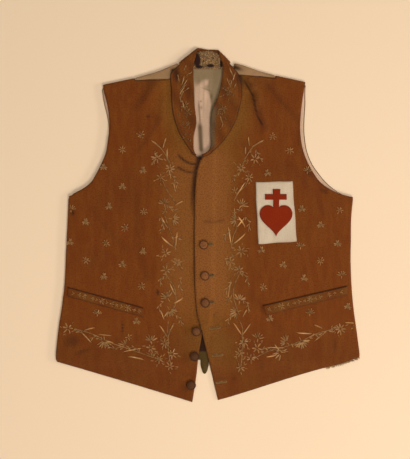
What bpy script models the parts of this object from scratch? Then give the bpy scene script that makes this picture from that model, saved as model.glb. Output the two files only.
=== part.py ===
"""An embroidered waistcoat that lies on its back, buttoned at the middle, as flat as it was photographed.

Metres, +Z up. X runs to the picture's right, Y towards the collar, and the back rests on Z = 0.
Right and left are the wearer's, so the right front is on the -X side. The left front laps over it.

Each panel starts as its flat cut. The cut is triangulated, then every point is carried to where the
cloth lies: on the layers below it, up over the folds, and round the side or shoulder that it turns.
The tables hold millimetres, which become metres when a mesh is made.
"""

import math

import bmesh
import bpy
import numpy as np
from mathutils import Vector
from mathutils.geometry import delaunay_2d_cdt

MM = 0.001
RIGHT = -1
LEFT = 1

# Wall of each cloth, and the space that parted pieces keep.
PANEL_WALL = 2.0
LINING_WALL = 1.0
COLLAR_WALL = 1.8
FACING_WALL = 1.6
WELT_WALL = 1.5
PATCH_WALL = 1.0
EMBLEM_WALL = 1.2
GAP = 0.3

# Height of the middle of each layer above the surface that the garment lies on.
BACK_Z = PANEL_WALL / 2
LINING_Z = PANEL_WALL + GAP + LINING_WALL / 2
FRONT_Z = 4.8
COLLAR_ON_FRONT = PANEL_WALL / 2 + GAP + COLLAR_WALL / 2
LAP_LIFT = PANEL_WALL + GAP
LAP_START = 15.0
LAP_RUN = 9.0
LAP_TOP = 152.0
LAP_TOP_RUN = 32.0

# The sides and shoulders turn round this radius, with its axis halfway between front and back.
TURN_RADIUS = (FRONT_Z - BACK_Z) / 2
TURN_AXIS_Z = (FRONT_Z + BACK_Z) / 2
TURN_LENGTH = math.pi * TURN_RADIUS
FRONT_TURN = TURN_LENGTH * 155 / 180
BACK_INSET = 0.5
WEDGE_SPACE = 1.0
LINING_INSET = 4.0
LINING_HEM = 15.0
LINING_SHOULDER = 6.0
UNDERARM_ROOM = 4.0

# The collar's roll along the neck, and the crease where it passes behind the shoulder.
ROLL_RADIUS = 1.2
ROLL_LENGTH = ROLL_RADIUS * math.radians(100)
ROLL_LIFT = 1.0
CREASE_AXIS_Z = 4.0
CREASE_RADIUS = FRONT_Z + COLLAR_ON_FRONT - CREASE_AXIS_Z
CREASE_LENGTH = math.pi * CREASE_RADIUS
FACING_Z = CREASE_AXIS_Z - CREASE_RADIUS + COLLAR_WALL / 2 + GAP + FACING_WALL / 2
FACING_RISE = LINING_Z + LINING_WALL / 2 + GAP + FACING_WALL / 2 - FACING_Z

# Side folds: height on the garment, then x on the right and on the left.
SIDE_ROWS = (
    (49.0, -242.0, 252.0),
    (12.0, -243.5, 248.5),
    (-30.0, -245.5, 248.0),
    (-62.0, -247.0, 247.5),
    (-104.0, -249.0, 249.0),
    (-146.0, -254.0, 252.5),
    (-178.0, -259.0, 257.0),
    (-224.0, -264.0, 263.0),
    (-240.0, -264.5, 265.0),
)

# Armholes: height, x of the back's edge on the right and left, and how much of it the front leaves bare.
ARMHOLE_ROWS = (
    (252.0, -185.5, 172.0, 1.0, 1.0),
    (234.0, -186.0, 170.8, 3.5, 3.0),
    (213.0, -182.6, 170.9, 5.5, 6.4),
    (192.0, -177.6, 169.7, 4.0, 7.4),
    (171.0, -174.3, 168.9, 1.5, 7.5),
    (150.0, -175.3, 170.3, 0.0, 7.4),
    (128.0, -178.8, 174.4, 0.0, 6.9),
    (107.0, -187.2, 183.0, 0.0, 7.0),
    (86.0, -198.0, 197.6, 0.0, 9.5),
    (75.5, -204.6, 206.6, 0.0, 10.5),
    (65.0, -217.4, 218.3, 0.0, 8.5),
    (55.0, -235.6, 233.5, 0.0, 3.0),
    (49.0, -242.0, 252.0, 0.0, 0.0),
)

# Shoulder folds, from the armhole to the collar: x, y, and how far below the fold the seam lies on top.
# On the armhole's side of the jump, the front turns over the fold instead and hides the seam.
SEAM_JUMP = {RIGHT: -128.0, LEFT: 118.0}
SHOULDER_ROWS = {
    RIGHT: (
        (-191.0, 242.0, 2.4),
        (-145.0, 251.6, 2.4),
        (-128.0, 255.3, 2.4),
        (-104.0, 262.0, 7.5),
        (-86.0, 267.3, 13.5),
        (-68.0, 274.7, 19.0),
        (-54.0, 280.6, 24.0),
    ),
    LEFT: (
        (178.0, 246.6, 2.4),
        (131.0, 256.8, 2.4),
        (118.0, 259.6, 2.4),
        (94.0, 266.0, 6.0),
        (76.0, 272.0, 10.7),
        (62.0, 277.0, 14.8),
        (47.0, 281.4, 18.0),
    ),
}
# How far from the shoulder fold's last point the wedge ends, along its seam and at the fold.
WEDGE_END = {RIGHT: (0.0, -2.0), LEFT: (8.0, -1.0)}

# Front edges, from the collar down to the point: x, y.
LEFT_EDGE = (
    (-13.2, 116.2),
    (-19.4, 93.3),
    (-23.6, 35.2),
    (-23.6, -89.8),
    (-19.4, -152.2),
    (-9.4, -193.6),
    (3.5, -248.2),
    (17.4, -307.6),
)
RIGHT_EDGE = (
    (1.0, 108.0),
    (0.0, -33.4),
    (-1.8, -135.5),
    (-8.8, -184.8),
    (-15.8, -222.8),
    (-21.5, -272.8),
    (-27.6, -311.0),
)
LEFT_HEM = ((17.4, -307.6), (44.0, -300.2), (160.0, -263.5), (240.0, -240.6), (265.0, -231.5))
RIGHT_HEM = ((-27.6, -311.0), (-90.0, -292.0), (-170.0, -268.0), (-264.5, -240.0))
BACK_HEM_CENTRE = -237.0
BACK_HEM_SIDE = -231.0
# The short rounded tail of the back that shows below its hem, between the two fronts.
BACK_TAIL = (
    (1.6, -237.0),
    (1.0, -246.0),
    (-0.9, -254.6),
    (-3.2, -259.8),
    (-5.9, -261.6),
    (-8.6, -259.8),
    (-10.9, -254.6),
    (-12.8, -246.0),
    (-13.4, -237.0),
)

# Where each front turns back under its collar: the rolled edge, from the neck down to the middle.
ROLL_LINE = {
    RIGHT: (
        (-21.5, 303.7),
        (-27.0, 280.0),
        (-26.7, 244.6),
        (-24.6, 204.2),
        (-22.0, 177.8),
        (-26.6, 156.6),
        (-26.7, 132.0),
        (-24.6, 125.5),
        (-21.5, 122.0),
    ),
    LEFT: (
        (21.0, 299.0),
        (27.4, 280.0),
        (25.0, 249.9),
        (18.6, 223.5),
        (8.0, 197.1),
        (5.6, 163.7),
        (6.4, 139.0),
        (2.6, 129.0),
        (-4.0, 124.4),
        (-10.0, 122.2),
    ),
}
# The collar's free edge, from the shoulder crease down to its tip.
FREE_EDGE = {
    RIGHT: (
        (-50.0, 281.2),
        (-58.5, 273.4),
        (-65.6, 265.0),
        (-64.8, 240.0),
        (-63.0, 204.2),
        (-58.0, 181.3),
        (-49.3, 158.4),
        (-32.5, 132.0),
        (-27.0, 124.5),
        (-22.6, 120.6),
    ),
    LEFT: (
        (36.8, 283.2),
        (46.4, 273.0),
        (54.6, 262.0),
        (59.8, 230.6),
        (53.2, 197.1),
        (44.0, 172.5),
        (26.4, 146.1),
        (7.4, 127.4),
        (-2.0, 120.7),
        (-10.8, 118.8),
    ),
}
# The crease on which each half passes behind the shoulder: its two ends.
CREASE = {
    RIGHT: ((-50.0, 281.2), (-21.5, 303.7)),
    LEFT: ((36.8, 283.2), (21.0, 299.0)),
}
# What lies behind, from the roll at the centre back to the free edge beside the crease.
COLLAR_BEHIND = {
    RIGHT: ((0.6, 305.9), (0.6, 276.6), (-30.0, 276.6), (-38.0, 277.8)),
    LEFT: ((1.2, 305.9), (1.2, 276.6), (26.0, 276.6), (32.0, 277.8)),
}
FACING_TOP = (
    (28.6, 273.4),
    (27.6, 286.0),
    (20.6, 297.6),
    (8.0, 304.6),
    (-13.0, 304.8),
    (-21.0, 300.0),
    (-25.4, 286.0),
    (-26.4, 273.4),
)
FACING_STEP_TOP = 282.0
FACING_STEP_RUN = 6.0
BACK_NECK = ((-50.0, 277.0), (-40.0, 275.9), (-30.0, 275.2), (30.0, 275.2), (36.0, 276.0), (43.0, 278.0))
LINING_NECK = ((-40.0, 272.0), (-26.0, 275.3), (30.0, 275.3), (44.0, 271.0))

# Large folds of the two fronts: side, start x, y, end x, y, height and half width.
FOLDS = (
    (LEFT, 71.0, 257.0, 77.0, 238.0, 3.0, 4.6),
    (LEFT, 78.0, 246.0, 90.0, 212.0, 3.6, 6.5),
    (LEFT, 80.0, 224.0, 100.0, 160.0, 2.8, 9.0),
    (LEFT, 104.0, 240.0, 146.0, 194.0, 2.2, 10.0),
    (LEFT, 0.0, 9.0, 34.0, 8.0, 1.2, 5.0),
    (LEFT, 118.0, 92.0, 208.0, 4.0, 1.6, 26.0),
    (LEFT, 58.0, -108.0, 170.0, -196.0, 1.5, 24.0),
    (LEFT, 182.0, -150.0, 216.0, -214.0, 1.6, 18.0),
    (RIGHT, -84.0, 254.0, -112.0, 210.0, 2.6, 10.0),
    (RIGHT, -93.0, 188.0, -120.0, 134.0, 1.8, 12.0),
    (RIGHT, -60.0, 113.5, -20.0, 107.4, 1.4, 4.5),
    (RIGHT, -62.0, 97.0, -24.0, 89.8, 1.4, 4.5),
    (RIGHT, -198.0, 26.0, -116.0, -64.0, 1.6, 26.0),
    (RIGHT, -204.0, -172.0, -90.0, -206.0, 1.6, 24.0),
    (RIGHT, -142.0, 84.0, -100.0, 20.0, 1.3, 20.0),
)
FOLD_FADE = 16.0
# Soft folds of the lining in the neck opening: x at the top, x at the foot and height.
LINING_FOLDS = ((-14.0, -14.0, 0.9), (-5.0, -8.0, 1.1), (4.0, -3.0, 0.8), (13.0, 1.0, 0.6))
LINING_FOLD_TOP = 262.0
LINING_FOLD_FOOT = 128.0
LINING_FOLD_WIDTH = 3.4

# Pocket welts: the four corners from the side inwards, top edge then lower edge.
WELTS = {
    RIGHT: ((-245.5, -108.8), (-113.3, -144.8), (-112.6, -161.6), (-245.5, -124.9)),
    LEFT: ((244.0, -106.5), (95.6, -140.8), (101.7, -157.6), (244.6, -122.4)),
}

# The linen patch on the left breast, and the heart with a cross sewn to it.
PATCH_CORNERS = ((87.6, -33.4), (155.8, -28.9), (147.4, 77.6), (82.7, 75.8))
HEART_MIDDLE = (119.0, 11.8)
HEART_WIDTH = 57.5
HEART_STRETCH = 1.067
CROSS_FOOT_HALF = 5.1
CROSS = (
    (114.2, 44.2),
    (99.8, 44.2),
    (99.8, 54.0),
    (113.6, 54.0),
    (113.3, 62.7),
    (126.7, 62.7),
    (126.0, 54.0),
    (137.5, 54.0),
    (137.5, 44.2),
    (124.4, 44.2),
)

# Buttons, top to bottom: x, y of the sewn place. The first three are through their holes.
BUTTONS = (
    (-7.4, -34.7),
    (-5.3, -89.1),
    (-4.8, -136.4),
    (-20.2, -186.6),
    (-23.6, -230.4),
    (-29.4, -281.1),
)
FASTENED = 3
BUTTON_PROFILE = (
    (6.4, 0.0),
    (8.3, 0.9),
    (8.3, 2.8),
    (7.2, 3.4),
    (6.2, 3.1),
    (3.6, 4.0),
    (0.0, 4.4),
)
BUTTON_SIDES = 20
SHANK_RADIUS = 1.3
HOLE_LENGTH = 17.0
HOLE_SHIFT = 6.6
HOLE_RISE = math.radians(5)
OPEN_HOLES = ((11.8, -180.4), (16.7, -228.3), (23.4, -276.0))
OPEN_HOLE_WIDTH = 1.4
FILLED_HOLE_WIDTH = 3.6

# Spacing of the points of each cut.
FRONT_STEP = 21.0
BACK_STEP = 50.0
COLLAR_STEP = 8.0
EDGE_STEP = 12.0
SHOULDER_STEP = 9.0
LAP_STEP = 10.0
TURN_STEPS = 5

COLOURS = {
    "rust_cloth": ((0.235, 0.085, 0.028), 0.88),
    "collar_cloth": ((0.150, 0.062, 0.025), 0.86),
    "back_cloth": ((0.420, 0.290, 0.150), 0.92),
    "lining": ((0.520, 0.400, 0.290), 0.90),
    "facing": ((0.230, 0.170, 0.110), 0.92),
    "linen": ((0.700, 0.560, 0.360), 0.90),
    "red_cloth": ((0.450, 0.050, 0.030), 0.85),
    "button_cloth": ((0.240, 0.140, 0.060), 0.80),
}


def clear_scene():
    for obj in list(bpy.data.objects):
        bpy.data.objects.remove(obj, do_unlink=True)


def material(name):
    found = bpy.data.materials.get(name)
    if found:
        return found
    colour, roughness = COLOURS[name]
    made = bpy.data.materials.new(name)
    made.use_nodes = True
    shader = made.node_tree.nodes["Principled BSDF"]
    shader.inputs["Base Color"].default_value = (*colour, 1.0)
    shader.inputs["Roughness"].default_value = roughness
    shader.inputs["Metallic"].default_value = 0.0
    return made


def ease(t):
    t = np.clip(t, 0.0, 1.0)
    return t * t * (3.0 - 2.0 * t)


def spline(points, step):
    """A smooth line through the points, with about one point for each step."""
    p = np.array([point[:2] for point in points], float)
    if len(p) == 2:
        count = max(1, round(np.linalg.norm(p[1] - p[0]) / step))
        return p[0] + (p[1] - p[0]) * np.linspace(0, 1, count + 1)[:, None]
    before = np.vstack([2 * p[0] - p[1], p, 2 * p[-1] - p[-2]])
    made = []
    for a, b, c, d in zip(before, before[1:], before[2:], before[3:]):
        count = max(1, round(np.linalg.norm(c - b) / step))
        tight = np.linalg.norm(c - b)
        into = (c - a) / max(np.linalg.norm(c - a), 1e-9) * tight
        out = (d - b) / max(np.linalg.norm(d - b), 1e-9) * tight
        for t in np.linspace(0, 1, count, endpoint=False):
            ease_b = 2 * t**3 - 3 * t**2 + 1
            ease_in = t**3 - 2 * t**2 + t
            ease_out = t**3 - t**2
            made.append(ease_b * b + ease_in * into + (1 - ease_b) * c + ease_out * out)
    made.append(p[-1])
    return np.array(made)


def outward(line, towards):
    """A unit normal at each point of the line, on the side of the point named."""
    along = np.gradient(line, axis=0)
    along /= np.linalg.norm(along, axis=1)[:, None]
    normal = np.stack([-along[:, 1], along[:, 0]], axis=1)
    middle = line[len(line) // 2]
    if normal[len(line) // 2] @ (np.array(towards, float) - middle) < 0:
        normal = -normal
    return normal


def foot_on(line, normal, xy):
    """For each point: its foot on the line, the normal there and the signed distance past the line."""
    start = line[:-1]
    run = line[1:] - start
    t = np.einsum("psk,sk->ps", xy[:, None] - start[None], run) / np.einsum("sk,sk->s", run, run)
    t = np.clip(t, 0, 1)
    feet = start[None] + run[None] * t[..., None]
    nearest = np.argmin(np.linalg.norm(xy[:, None] - feet, axis=2), axis=1)
    rows = np.arange(len(xy))
    foot = feet[rows, nearest]
    share = t[rows, nearest][:, None]
    n = normal[:-1][nearest] * (1 - share) + normal[1:][nearest] * share
    n /= np.linalg.norm(n, axis=1)[:, None]
    return foot, n, np.einsum("pk,pk->p", xy - foot, n)


def turn_over(xy, z, line, normal, radius, axis_z):
    """Carries what lies past the line round an axis below or above it, and back along its other side."""
    _, n, past = foot_on(line, normal, xy)
    angle = np.clip(past / radius, 0, math.pi)
    height = z - axis_z
    reach = np.abs(height) * np.sin(angle) - np.maximum(past - math.pi * radius, 0)
    turned = past > 0
    new_xy = np.where(turned[:, None], xy + n * (reach - past)[:, None], xy)
    new_z = np.where(turned, axis_z + height * np.cos(angle), z)
    return new_xy, new_z


def inside(outline, xy):
    a = outline
    b = np.roll(outline, -1, axis=0)
    x, y = xy[:, 0:1], xy[:, 1:2]
    spans = (a[None, :, 1] > y) != (b[None, :, 1] > y)
    rise = np.where(b[:, 1] == a[:, 1], 1e-12, b[:, 1] - a[:, 1])
    crossing = a[None, :, 0] + (y - a[None, :, 1]) / rise * (b[:, 0] - a[:, 0])
    return (spans & (x < crossing)).sum(axis=1) % 2 == 1


def distance_to(loop, xy):
    a = loop
    run = np.roll(loop, -1, axis=0) - a
    length = np.maximum(np.einsum("sk,sk->s", run, run), 1e-12)
    t = np.clip(np.einsum("psk,sk->ps", xy[:, None] - a[None], run) / length, 0, 1)
    return np.linalg.norm(xy[:, None] - a[None] - run[None] * t[..., None], axis=2).min(axis=1)


def without_repeats(points, least=0.2):
    kept = [points[0]]
    for point in points[1:]:
        if np.linalg.norm(point - kept[-1]) > least:
            kept.append(point)
    if np.linalg.norm(kept[0] - kept[-1]) <= least:
        kept.pop()
    return np.array(kept)


def grid(outline, step):
    low, high = outline.min(axis=0), outline.max(axis=0)
    points = []
    for row, y in enumerate(np.arange(low[1], high[1], step * 0.87)):
        shift = step / 2 * (row % 2)
        points += [(x, y) for x in np.arange(low[0] + shift, high[0], step)]
    return np.array(points)


def not_sliver(corners):
    """True for triangles that have some height over their longest side."""
    sides = corners - np.roll(corners, 1, axis=1)
    longest = np.linalg.norm(sides, axis=2).max(axis=1)
    a, b = sides[:, 0], sides[:, 1]
    return np.abs(a[:, 0] * b[:, 1] - a[:, 1] * b[:, 0]) > 0.01 * longest**2


def triangulate(outline, step, rows=(), holes=()):
    """The flat cut as points and triangles: its outline, holes, the rows asked for and an even grid."""
    loops = [outline, *holes]
    fixed = np.vstack(loops)
    edges = []
    first = 0
    for loop in loops:
        edges += [(first + i, first + (i + 1) % len(loop)) for i in range(len(loop))]
        first += len(loop)
    inner = np.empty((0, 2))
    for row in rows:
        kept = inside(outline, row) & (distance_to(outline, row) > 0.8)
        for hole in holes:
            kept &= distance_to(hole, row) > 2.0
        index = np.cumsum(kept) - 1 + len(fixed) + len(inner)
        edges += [(index[i], index[i + 1]) for i in range(len(row) - 1) if kept[i] and kept[i + 1]]
        inner = np.vstack([inner, row[kept]])
    spread = grid(outline, step)
    spread = spread[inside(outline, spread)]
    spread = spread[distance_to(outline, spread) > step * 0.45]
    for hole in holes:
        spread = spread[distance_to(hole, spread) > step * 0.3]
        spread = spread[~inside(hole, spread)]
    if len(inner) and len(spread):
        apart = np.linalg.norm(spread[:, None] - inner[None], axis=2).min(axis=1)
        spread = spread[apart > step * 0.5]
    points = np.vstack([fixed, inner, spread])
    edges = [(int(a), int(b)) for a, b in edges]
    made = delaunay_2d_cdt([Vector(p) for p in points], edges, [], 0, 1e-5)
    xy = np.array([v[:] for v in made[0]], float)
    faces = np.array([f[:] for f in made[2] if len(f) == 3], int)
    middle = xy[faces].mean(axis=1)
    keep = inside(outline, middle)
    for hole in holes:
        keep &= ~inside(hole, middle)
    faces = faces[keep & not_sliver(xy[faces])]
    used = np.unique(faces)
    order = np.full(len(xy), -1)
    order[used] = np.arange(len(used))
    return xy[used], order[faces]


def cloth(name, cut, place, wall, finish):
    """A closed wall of cloth: place carries the cut's points to both its faces, and a rim joins them."""
    xy, faces = cut
    count = len(xy)
    points = np.vstack([place(xy, wall / 2), place(xy, -wall / 2)]) * MM
    edges = [(int(f[k]), int(f[(k + 1) % 3])) for f in faces for k in range(3)]
    inner = set(edges)
    rim = [(b, a, a + count, b + count) for a, b in edges if (b, a) not in inner]
    sheets = [tuple(f) for f in faces] + [tuple(f + count)[::-1] for f in faces]
    mesh = bpy.data.meshes.new(name)
    mesh.from_pydata([tuple(p) for p in points], [], sheets + rim)
    mesh.materials.append(material(finish))
    mesh.shade_smooth()
    mesh.set_sharp_from_angle(angle=math.radians(50))
    obj = bpy.data.objects.new(name, mesh)
    bpy.context.scene.collection.objects.link(obj)


def side_line(side, step=EDGE_STEP):
    column = 1 if side == RIGHT else 2
    return spline([(row[column], row[0]) for row in SIDE_ROWS], step)


def shoulder_line(side, step=SHOULDER_STEP):
    return spline(SHOULDER_ROWS[side], step)


def shoulder_y(side, x):
    """Height of the shoulder fold at x."""
    rows = sorted(SHOULDER_ROWS[side])
    return np.interp(x, [row[0] for row in rows], [row[1] for row in rows])


def shoulder_seam(side, hidden, shown, jump_shift):
    """A cut's edge along the shoulder, at its reach past the fold where it is hidden and where it shows."""
    line = shoulder_line(side)
    normal = outward(line, (side * 90, 400))
    jump = SEAM_JUMP[side] - side * jump_shift
    rows = sorted(SHOULDER_ROWS[side])
    below = np.interp([*line[:, 0], jump], [row[0] for row in rows], [row[2] for row in rows])
    is_hidden = (line[:, 0] - jump) * side > 0
    at = int(is_hidden.sum())
    points = line + normal * np.where(is_hidden, hidden, shown(below[:-1]))[:, None]
    foot = line[at - 1] + (line[at] - line[at - 1]) * (jump - line[at - 1, 0]) / (line[at, 0] - line[at - 1, 0])
    corners = [foot + normal[at] * hidden, foot + normal[at] * shown(below[-1])]
    return np.vstack([points[:at], corners, points[at:]])


def armhole(side, inset, step=EDGE_STEP):
    """The armhole from the shoulder down: the back's edge, or the front's where inset is 1."""
    column = 1 if side == RIGHT else 2
    rows = [(row[column] - side * inset * row[column + 2], row[0]) for row in ARMHOLE_ROWS]
    return spline(rows, step)


def edge_x(table, y):
    rows = sorted((row[1], row[0]) for row in table)
    return np.interp(y, [row[0] for row in rows], [row[1] for row in rows])


def back_hem_y(x):
    reach = SIDE_ROWS[-1][2]
    return BACK_HEM_CENTRE + (BACK_HEM_SIDE - BACK_HEM_CENTRE) * np.clip(np.abs(x) / reach, 0, 1) ** 2


def folds_at(side, xy):
    """Height that the large folds add: each is a soft ridge that fades at both its ends."""
    total = np.zeros(len(xy))
    for fold_side, x0, y0, x1, y1, height, width in FOLDS:
        if fold_side != side:
            continue
        start = np.array([x0, y0])
        run = np.array([x1 - x0, y1 - y0])
        length = np.linalg.norm(run)
        share = (xy - start) @ run / length**2
        aside = np.linalg.norm(xy - start - np.clip(share, 0, 1)[:, None] * run, axis=1)
        ends = ease(share * length / (2 * width) + 0.5) * ease((1 - share) * length / (2 * width) + 0.5)
        total += height * ends * np.exp(-((aside / width) ** 2))
    return total


def front_height(side, xy):
    """Height of the middle of a front's wall where it lies on the layers below."""
    x, y = xy[:, 0], xy[:, 1]
    past_side = foot_on(side_line(side), outward(side_line(side), (side * 400, -90)), xy)[2]
    past_shoulder = foot_on(shoulder_line(side), outward(shoulder_line(side), (side * 90, 400)), xy)[2]
    fade = ease(-past_side / FOLD_FADE) * ease(-past_shoulder / FOLD_FADE)
    z = FRONT_Z + folds_at(side, xy) * fade
    drop = ease((back_hem_y(x) - y - 2.0) / 20.0)
    z = z - drop * (FRONT_Z - BACK_Z)
    if side == LEFT:
        lap = ease((edge_x(RIGHT_EDGE, y) + LAP_START - x) / LAP_RUN) * ease((LAP_TOP - y) / LAP_TOP_RUN)
        z = z + lap * LAP_LIFT * ease((edge_x(RIGHT_EDGE, y) - edge_x(LEFT_EDGE, y) + 14.0) / 10.0)
    return z


def place_front(side):
    def place(xy, rise):
        z = front_height(side, xy) + rise
        line = side_line(side)
        xy, z = turn_over(xy, z, line, outward(line, (side * 400, -90)), TURN_RADIUS, TURN_AXIS_Z)
        line = shoulder_line(side)
        xy, z = turn_over(xy, z, line, outward(line, (side * 90, 400)), TURN_RADIUS, TURN_AXIS_Z)
        return np.column_stack([xy, z])

    return place


def split_at_turn(outline, line, towards):
    """The outline, with points added to each edge that crosses the turn at the line."""
    past = foot_on(line, outward(line, towards), outline)[2]
    past = np.clip(past, 0, TURN_LENGTH)
    most = TURN_LENGTH / TURN_STEPS
    made = []
    for a, b, p, q in zip(outline, np.roll(outline, -1, axis=0), past, np.roll(past, -1)):
        crosses = abs(q - p) > most * 0.6
        count = math.ceil(np.linalg.norm(b - a) / most) if crosses else 1
        made.append(a + (b - a) * np.linspace(0, 1, count, endpoint=False)[:, None])
    return np.vstack(made)


def turn_rows(line, normal, reach):
    """Rows of points along a turn, so that the cut bends evenly there."""
    return [line + normal * reach * k / TURN_STEPS for k in range(TURN_STEPS)]


def neck_edge(side, inset):
    """A front's edge under its collar, from the shoulder seam down to the middle."""
    line = spline(ROLL_LINE[side][2:], EDGE_STEP)
    line = line + np.array([side * inset, 0.0])
    top = edge_x([(p[0] + side * inset, p[1]) for p in ROLL_LINE[side]], np.array([256.0]))[0]
    return line, top


def front_outline(side):
    """The flat cut of a front, from the collar down its edge, round the hem, side, armhole and shoulder."""
    side_fold = side_line(side)
    side_out = side_fold + outward(side_fold, (side * 400, -90)) * FRONT_TURN
    shoulder_out = shoulder_seam(side, FRONT_TURN, lambda below: -below, 0.0)
    hole = armhole(side, 1)
    limit = hole[0, 0]
    shoulder_out = shoulder_out[(shoulder_out[:, 0] - limit) * side < -2]
    top = np.array([[limit, shoulder_y(side, limit) + FRONT_TURN]])
    hole = hole[hole[:, 1] < top[0, 1] - 1.5]
    neck, neck_top = neck_edge(side, 2.4)
    edge = spline(LEFT_EDGE if side == LEFT else RIGHT_EDGE, EDGE_STEP)
    hem = spline(LEFT_HEM if side == LEFT else RIGHT_HEM, EDGE_STEP)
    side_out = side_out[side_out[:, 1] > hem[-1, 1] + 1.0]
    joined = [
        np.array([[neck_top, shoulder_out[-1, 1] - 1.0]]),
        neck[1:],
        edge,
        hem[1:],
        side_out[::-1],
        hole[::-1][1:],
        top,
        shoulder_out,
    ]
    return without_repeats(np.vstack(joined), 1.0)


def slot(centre, length, width, angle):
    """A narrow slot with round ends."""
    along = np.array([math.cos(angle), math.sin(angle)])
    across = np.array([-along[1], along[0]])
    half = (length - width) / 2
    points = []
    for end in (1, -1):
        for k in range(4):
            turn = math.radians(-90 + 60 * k)
            points.append(
                np.array(centre)
                + end * along * (half + width / 2 * math.cos(turn))
                + end * across * width / 2 * math.sin(turn)
            )
    return np.array(points)


def buttonholes():
    made = []
    for x, y in BUTTONS[:FASTENED]:
        made.append(slot((x + HOLE_SHIFT, y + 0.6), HOLE_LENGTH, FILLED_HOLE_WIDTH, HOLE_RISE))
    for centre in OPEN_HOLES:
        made.append(slot(centre, HOLE_LENGTH, OPEN_HOLE_WIDTH, HOLE_RISE))
    return made


def fold_rows(side):
    """Rows of points along the crest and both flanks of each narrow fold."""
    rows = []
    for fold_side, x0, y0, x1, y1, _, width in FOLDS:
        if fold_side != side or width > FRONT_STEP:
            continue
        start, end = np.array([x0, y0]), np.array([x1, y1])
        along = (end - start) / np.linalg.norm(end - start)
        across = np.array([-along[1], along[0]])
        crest = spline([start - along * width, end + along * width], width * 2.0)
        rows += [crest + across * width * k for k in (-1.6, -0.7, 0.0, 0.7, 1.6)]
    return rows


def lap_rows(side):
    """Rows of points where the left front climbs over the edge of the right one."""
    if side == RIGHT:
        return []
    y = np.arange(LAP_TOP, LEFT_EDGE[-1][1] + 80.0, -LAP_STEP)
    shares = (0.0, 0.33, 0.67, 1.0)
    return [np.column_stack([edge_x(RIGHT_EDGE, y) + LAP_START - LAP_RUN * share, y]) for share in shares]


def make_front(side):
    outline = front_outline(side)
    side_fold = side_line(side)
    shoulder = shoulder_line(side)
    rows = turn_rows(side_fold, outward(side_fold, (side * 400, -90)), FRONT_TURN)
    rows += turn_rows(shoulder, outward(shoulder, (side * 90, 400)), FRONT_TURN)
    rows += fold_rows(side)
    rows += lap_rows(side)
    holes = buttonholes() if side == LEFT else ()
    outline = split_at_turn(outline, side_fold, (side * 400, -90))
    outline = split_at_turn(outline, shoulder, (side * 90, 400))
    cut = triangulate(outline, FRONT_STEP, rows, holes)
    name = "left_front" if side == LEFT else "right_front"
    cloth(name, cut, place_front(side), PANEL_WALL, "rust_cloth")


def back_wedge(side):
    """The back's edge past each shoulder fold, from the armhole to the collar."""
    shoulder = shoulder_line(side)
    normal = outward(shoulder, (side * 90, 400))
    out = shoulder_seam(side, -BACK_INSET, lambda below: TURN_LENGTH + below - WEDGE_SPACE, WEDGE_SPACE)
    limit = armhole(side, 0)[0, 0]
    slant, end = WEDGE_END[side]
    left = (out[:, 0] - shoulder[-1, 0]) * side
    out = out[((out[:, 0] - limit) * side < -1) & (left >= max(slant, end + 1.0))]
    foot = shoulder[-1] + (shoulder[-2] - shoulder[-1]) * end / np.linalg.norm(shoulder[-2] - shoulder[-1])
    return np.vstack([out, foot + normal[-1] * (TURN_LENGTH + 0.5), foot, foot - normal[-1] * 1.5])


def place_back(xy, rise):
    z = np.full(len(xy), BACK_Z + rise)
    for side in (RIGHT, LEFT):
        line = shoulder_line(side)
        normal = outward(line, (side * 90, 400))
        xy, z = turn_over(xy, z, line, normal, TURN_RADIUS, TURN_AXIS_Z)
    return np.column_stack([xy, z])


def back_half(side, inset, hole_inset):
    """One side of the back's outline, from the hem's corner up to the shoulder's armhole end."""
    fold = side_line(side)[::-1] - np.array([side * inset, 0.0])
    hole = armhole(side, 0)[::-1] - np.array([side * hole_inset, 0.0])
    underarm = hole[0, 1]
    fold = fold[fold[:, 1] < underarm - inset]
    hole = hole[hole[:, 1] > underarm + UNDERARM_ROOM]
    shoulder_end = shoulder_y(side, hole[-1, 0])
    return np.vstack([fold, hole[1:][hole[1:, 1] < shoulder_end - inset - 1.5]])


def make_back():
    right = back_half(RIGHT, BACK_INSET, 0.0)
    left = back_half(LEFT, BACK_INSET, 0.0)
    x = np.arange(left[0, 0] - EDGE_STEP, right[0, 0], -EDGE_STEP * 2)
    tail = np.array(BACK_TAIL)
    before, after = x[x > tail[0, 0] + EDGE_STEP], x[x < tail[-1, 0] - EDGE_STEP]
    hem = np.vstack([np.column_stack([part, back_hem_y(part)]) for part in (before, after)])
    hem = np.insert(hem, len(before), tail, axis=0)
    right[0, 1] = left[0, 1] = BACK_HEM_SIDE
    right = right[(right[:, 1] >= BACK_HEM_SIDE)]
    left = left[(left[:, 1] >= BACK_HEM_SIDE)]
    outline = np.vstack(
        [right, back_wedge(RIGHT), np.array(BACK_NECK), back_wedge(LEFT)[::-1], left[::-1], hem]
    )
    outline = without_repeats(outline, 1.0)
    rows = []
    for side in (RIGHT, LEFT):
        line = shoulder_line(side)
        outline = split_at_turn(outline, line, (side * 90, 400))
        rows += turn_rows(line, outward(line, (side * 90, 400)), TURN_LENGTH)
        rows.append(line + outward(line, (side * 90, 400)) * TURN_LENGTH)
    cut = triangulate(outline, BACK_STEP, rows)
    cloth("back", cut, place_back, PANEL_WALL, "back_cloth")


def place_lining(xy, rise):
    """The lining lies flat, but for the soft folds that show in the neck opening."""
    x, y = xy[:, 0], xy[:, 1]
    z = np.full(len(xy), LINING_Z + rise)
    share = (LINING_FOLD_TOP - y) / (LINING_FOLD_TOP - LINING_FOLD_FOOT)
    ends = ease(share * 5.0 + 0.3) * ease((1 - share) * 5.0)
    for top_x, foot_x, height in LINING_FOLDS:
        middle = top_x + (foot_x - top_x) * share
        z += height * ends * np.exp(-(((x - middle) / LINING_FOLD_WIDTH) ** 2))
    return np.column_stack([xy, z])


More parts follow.
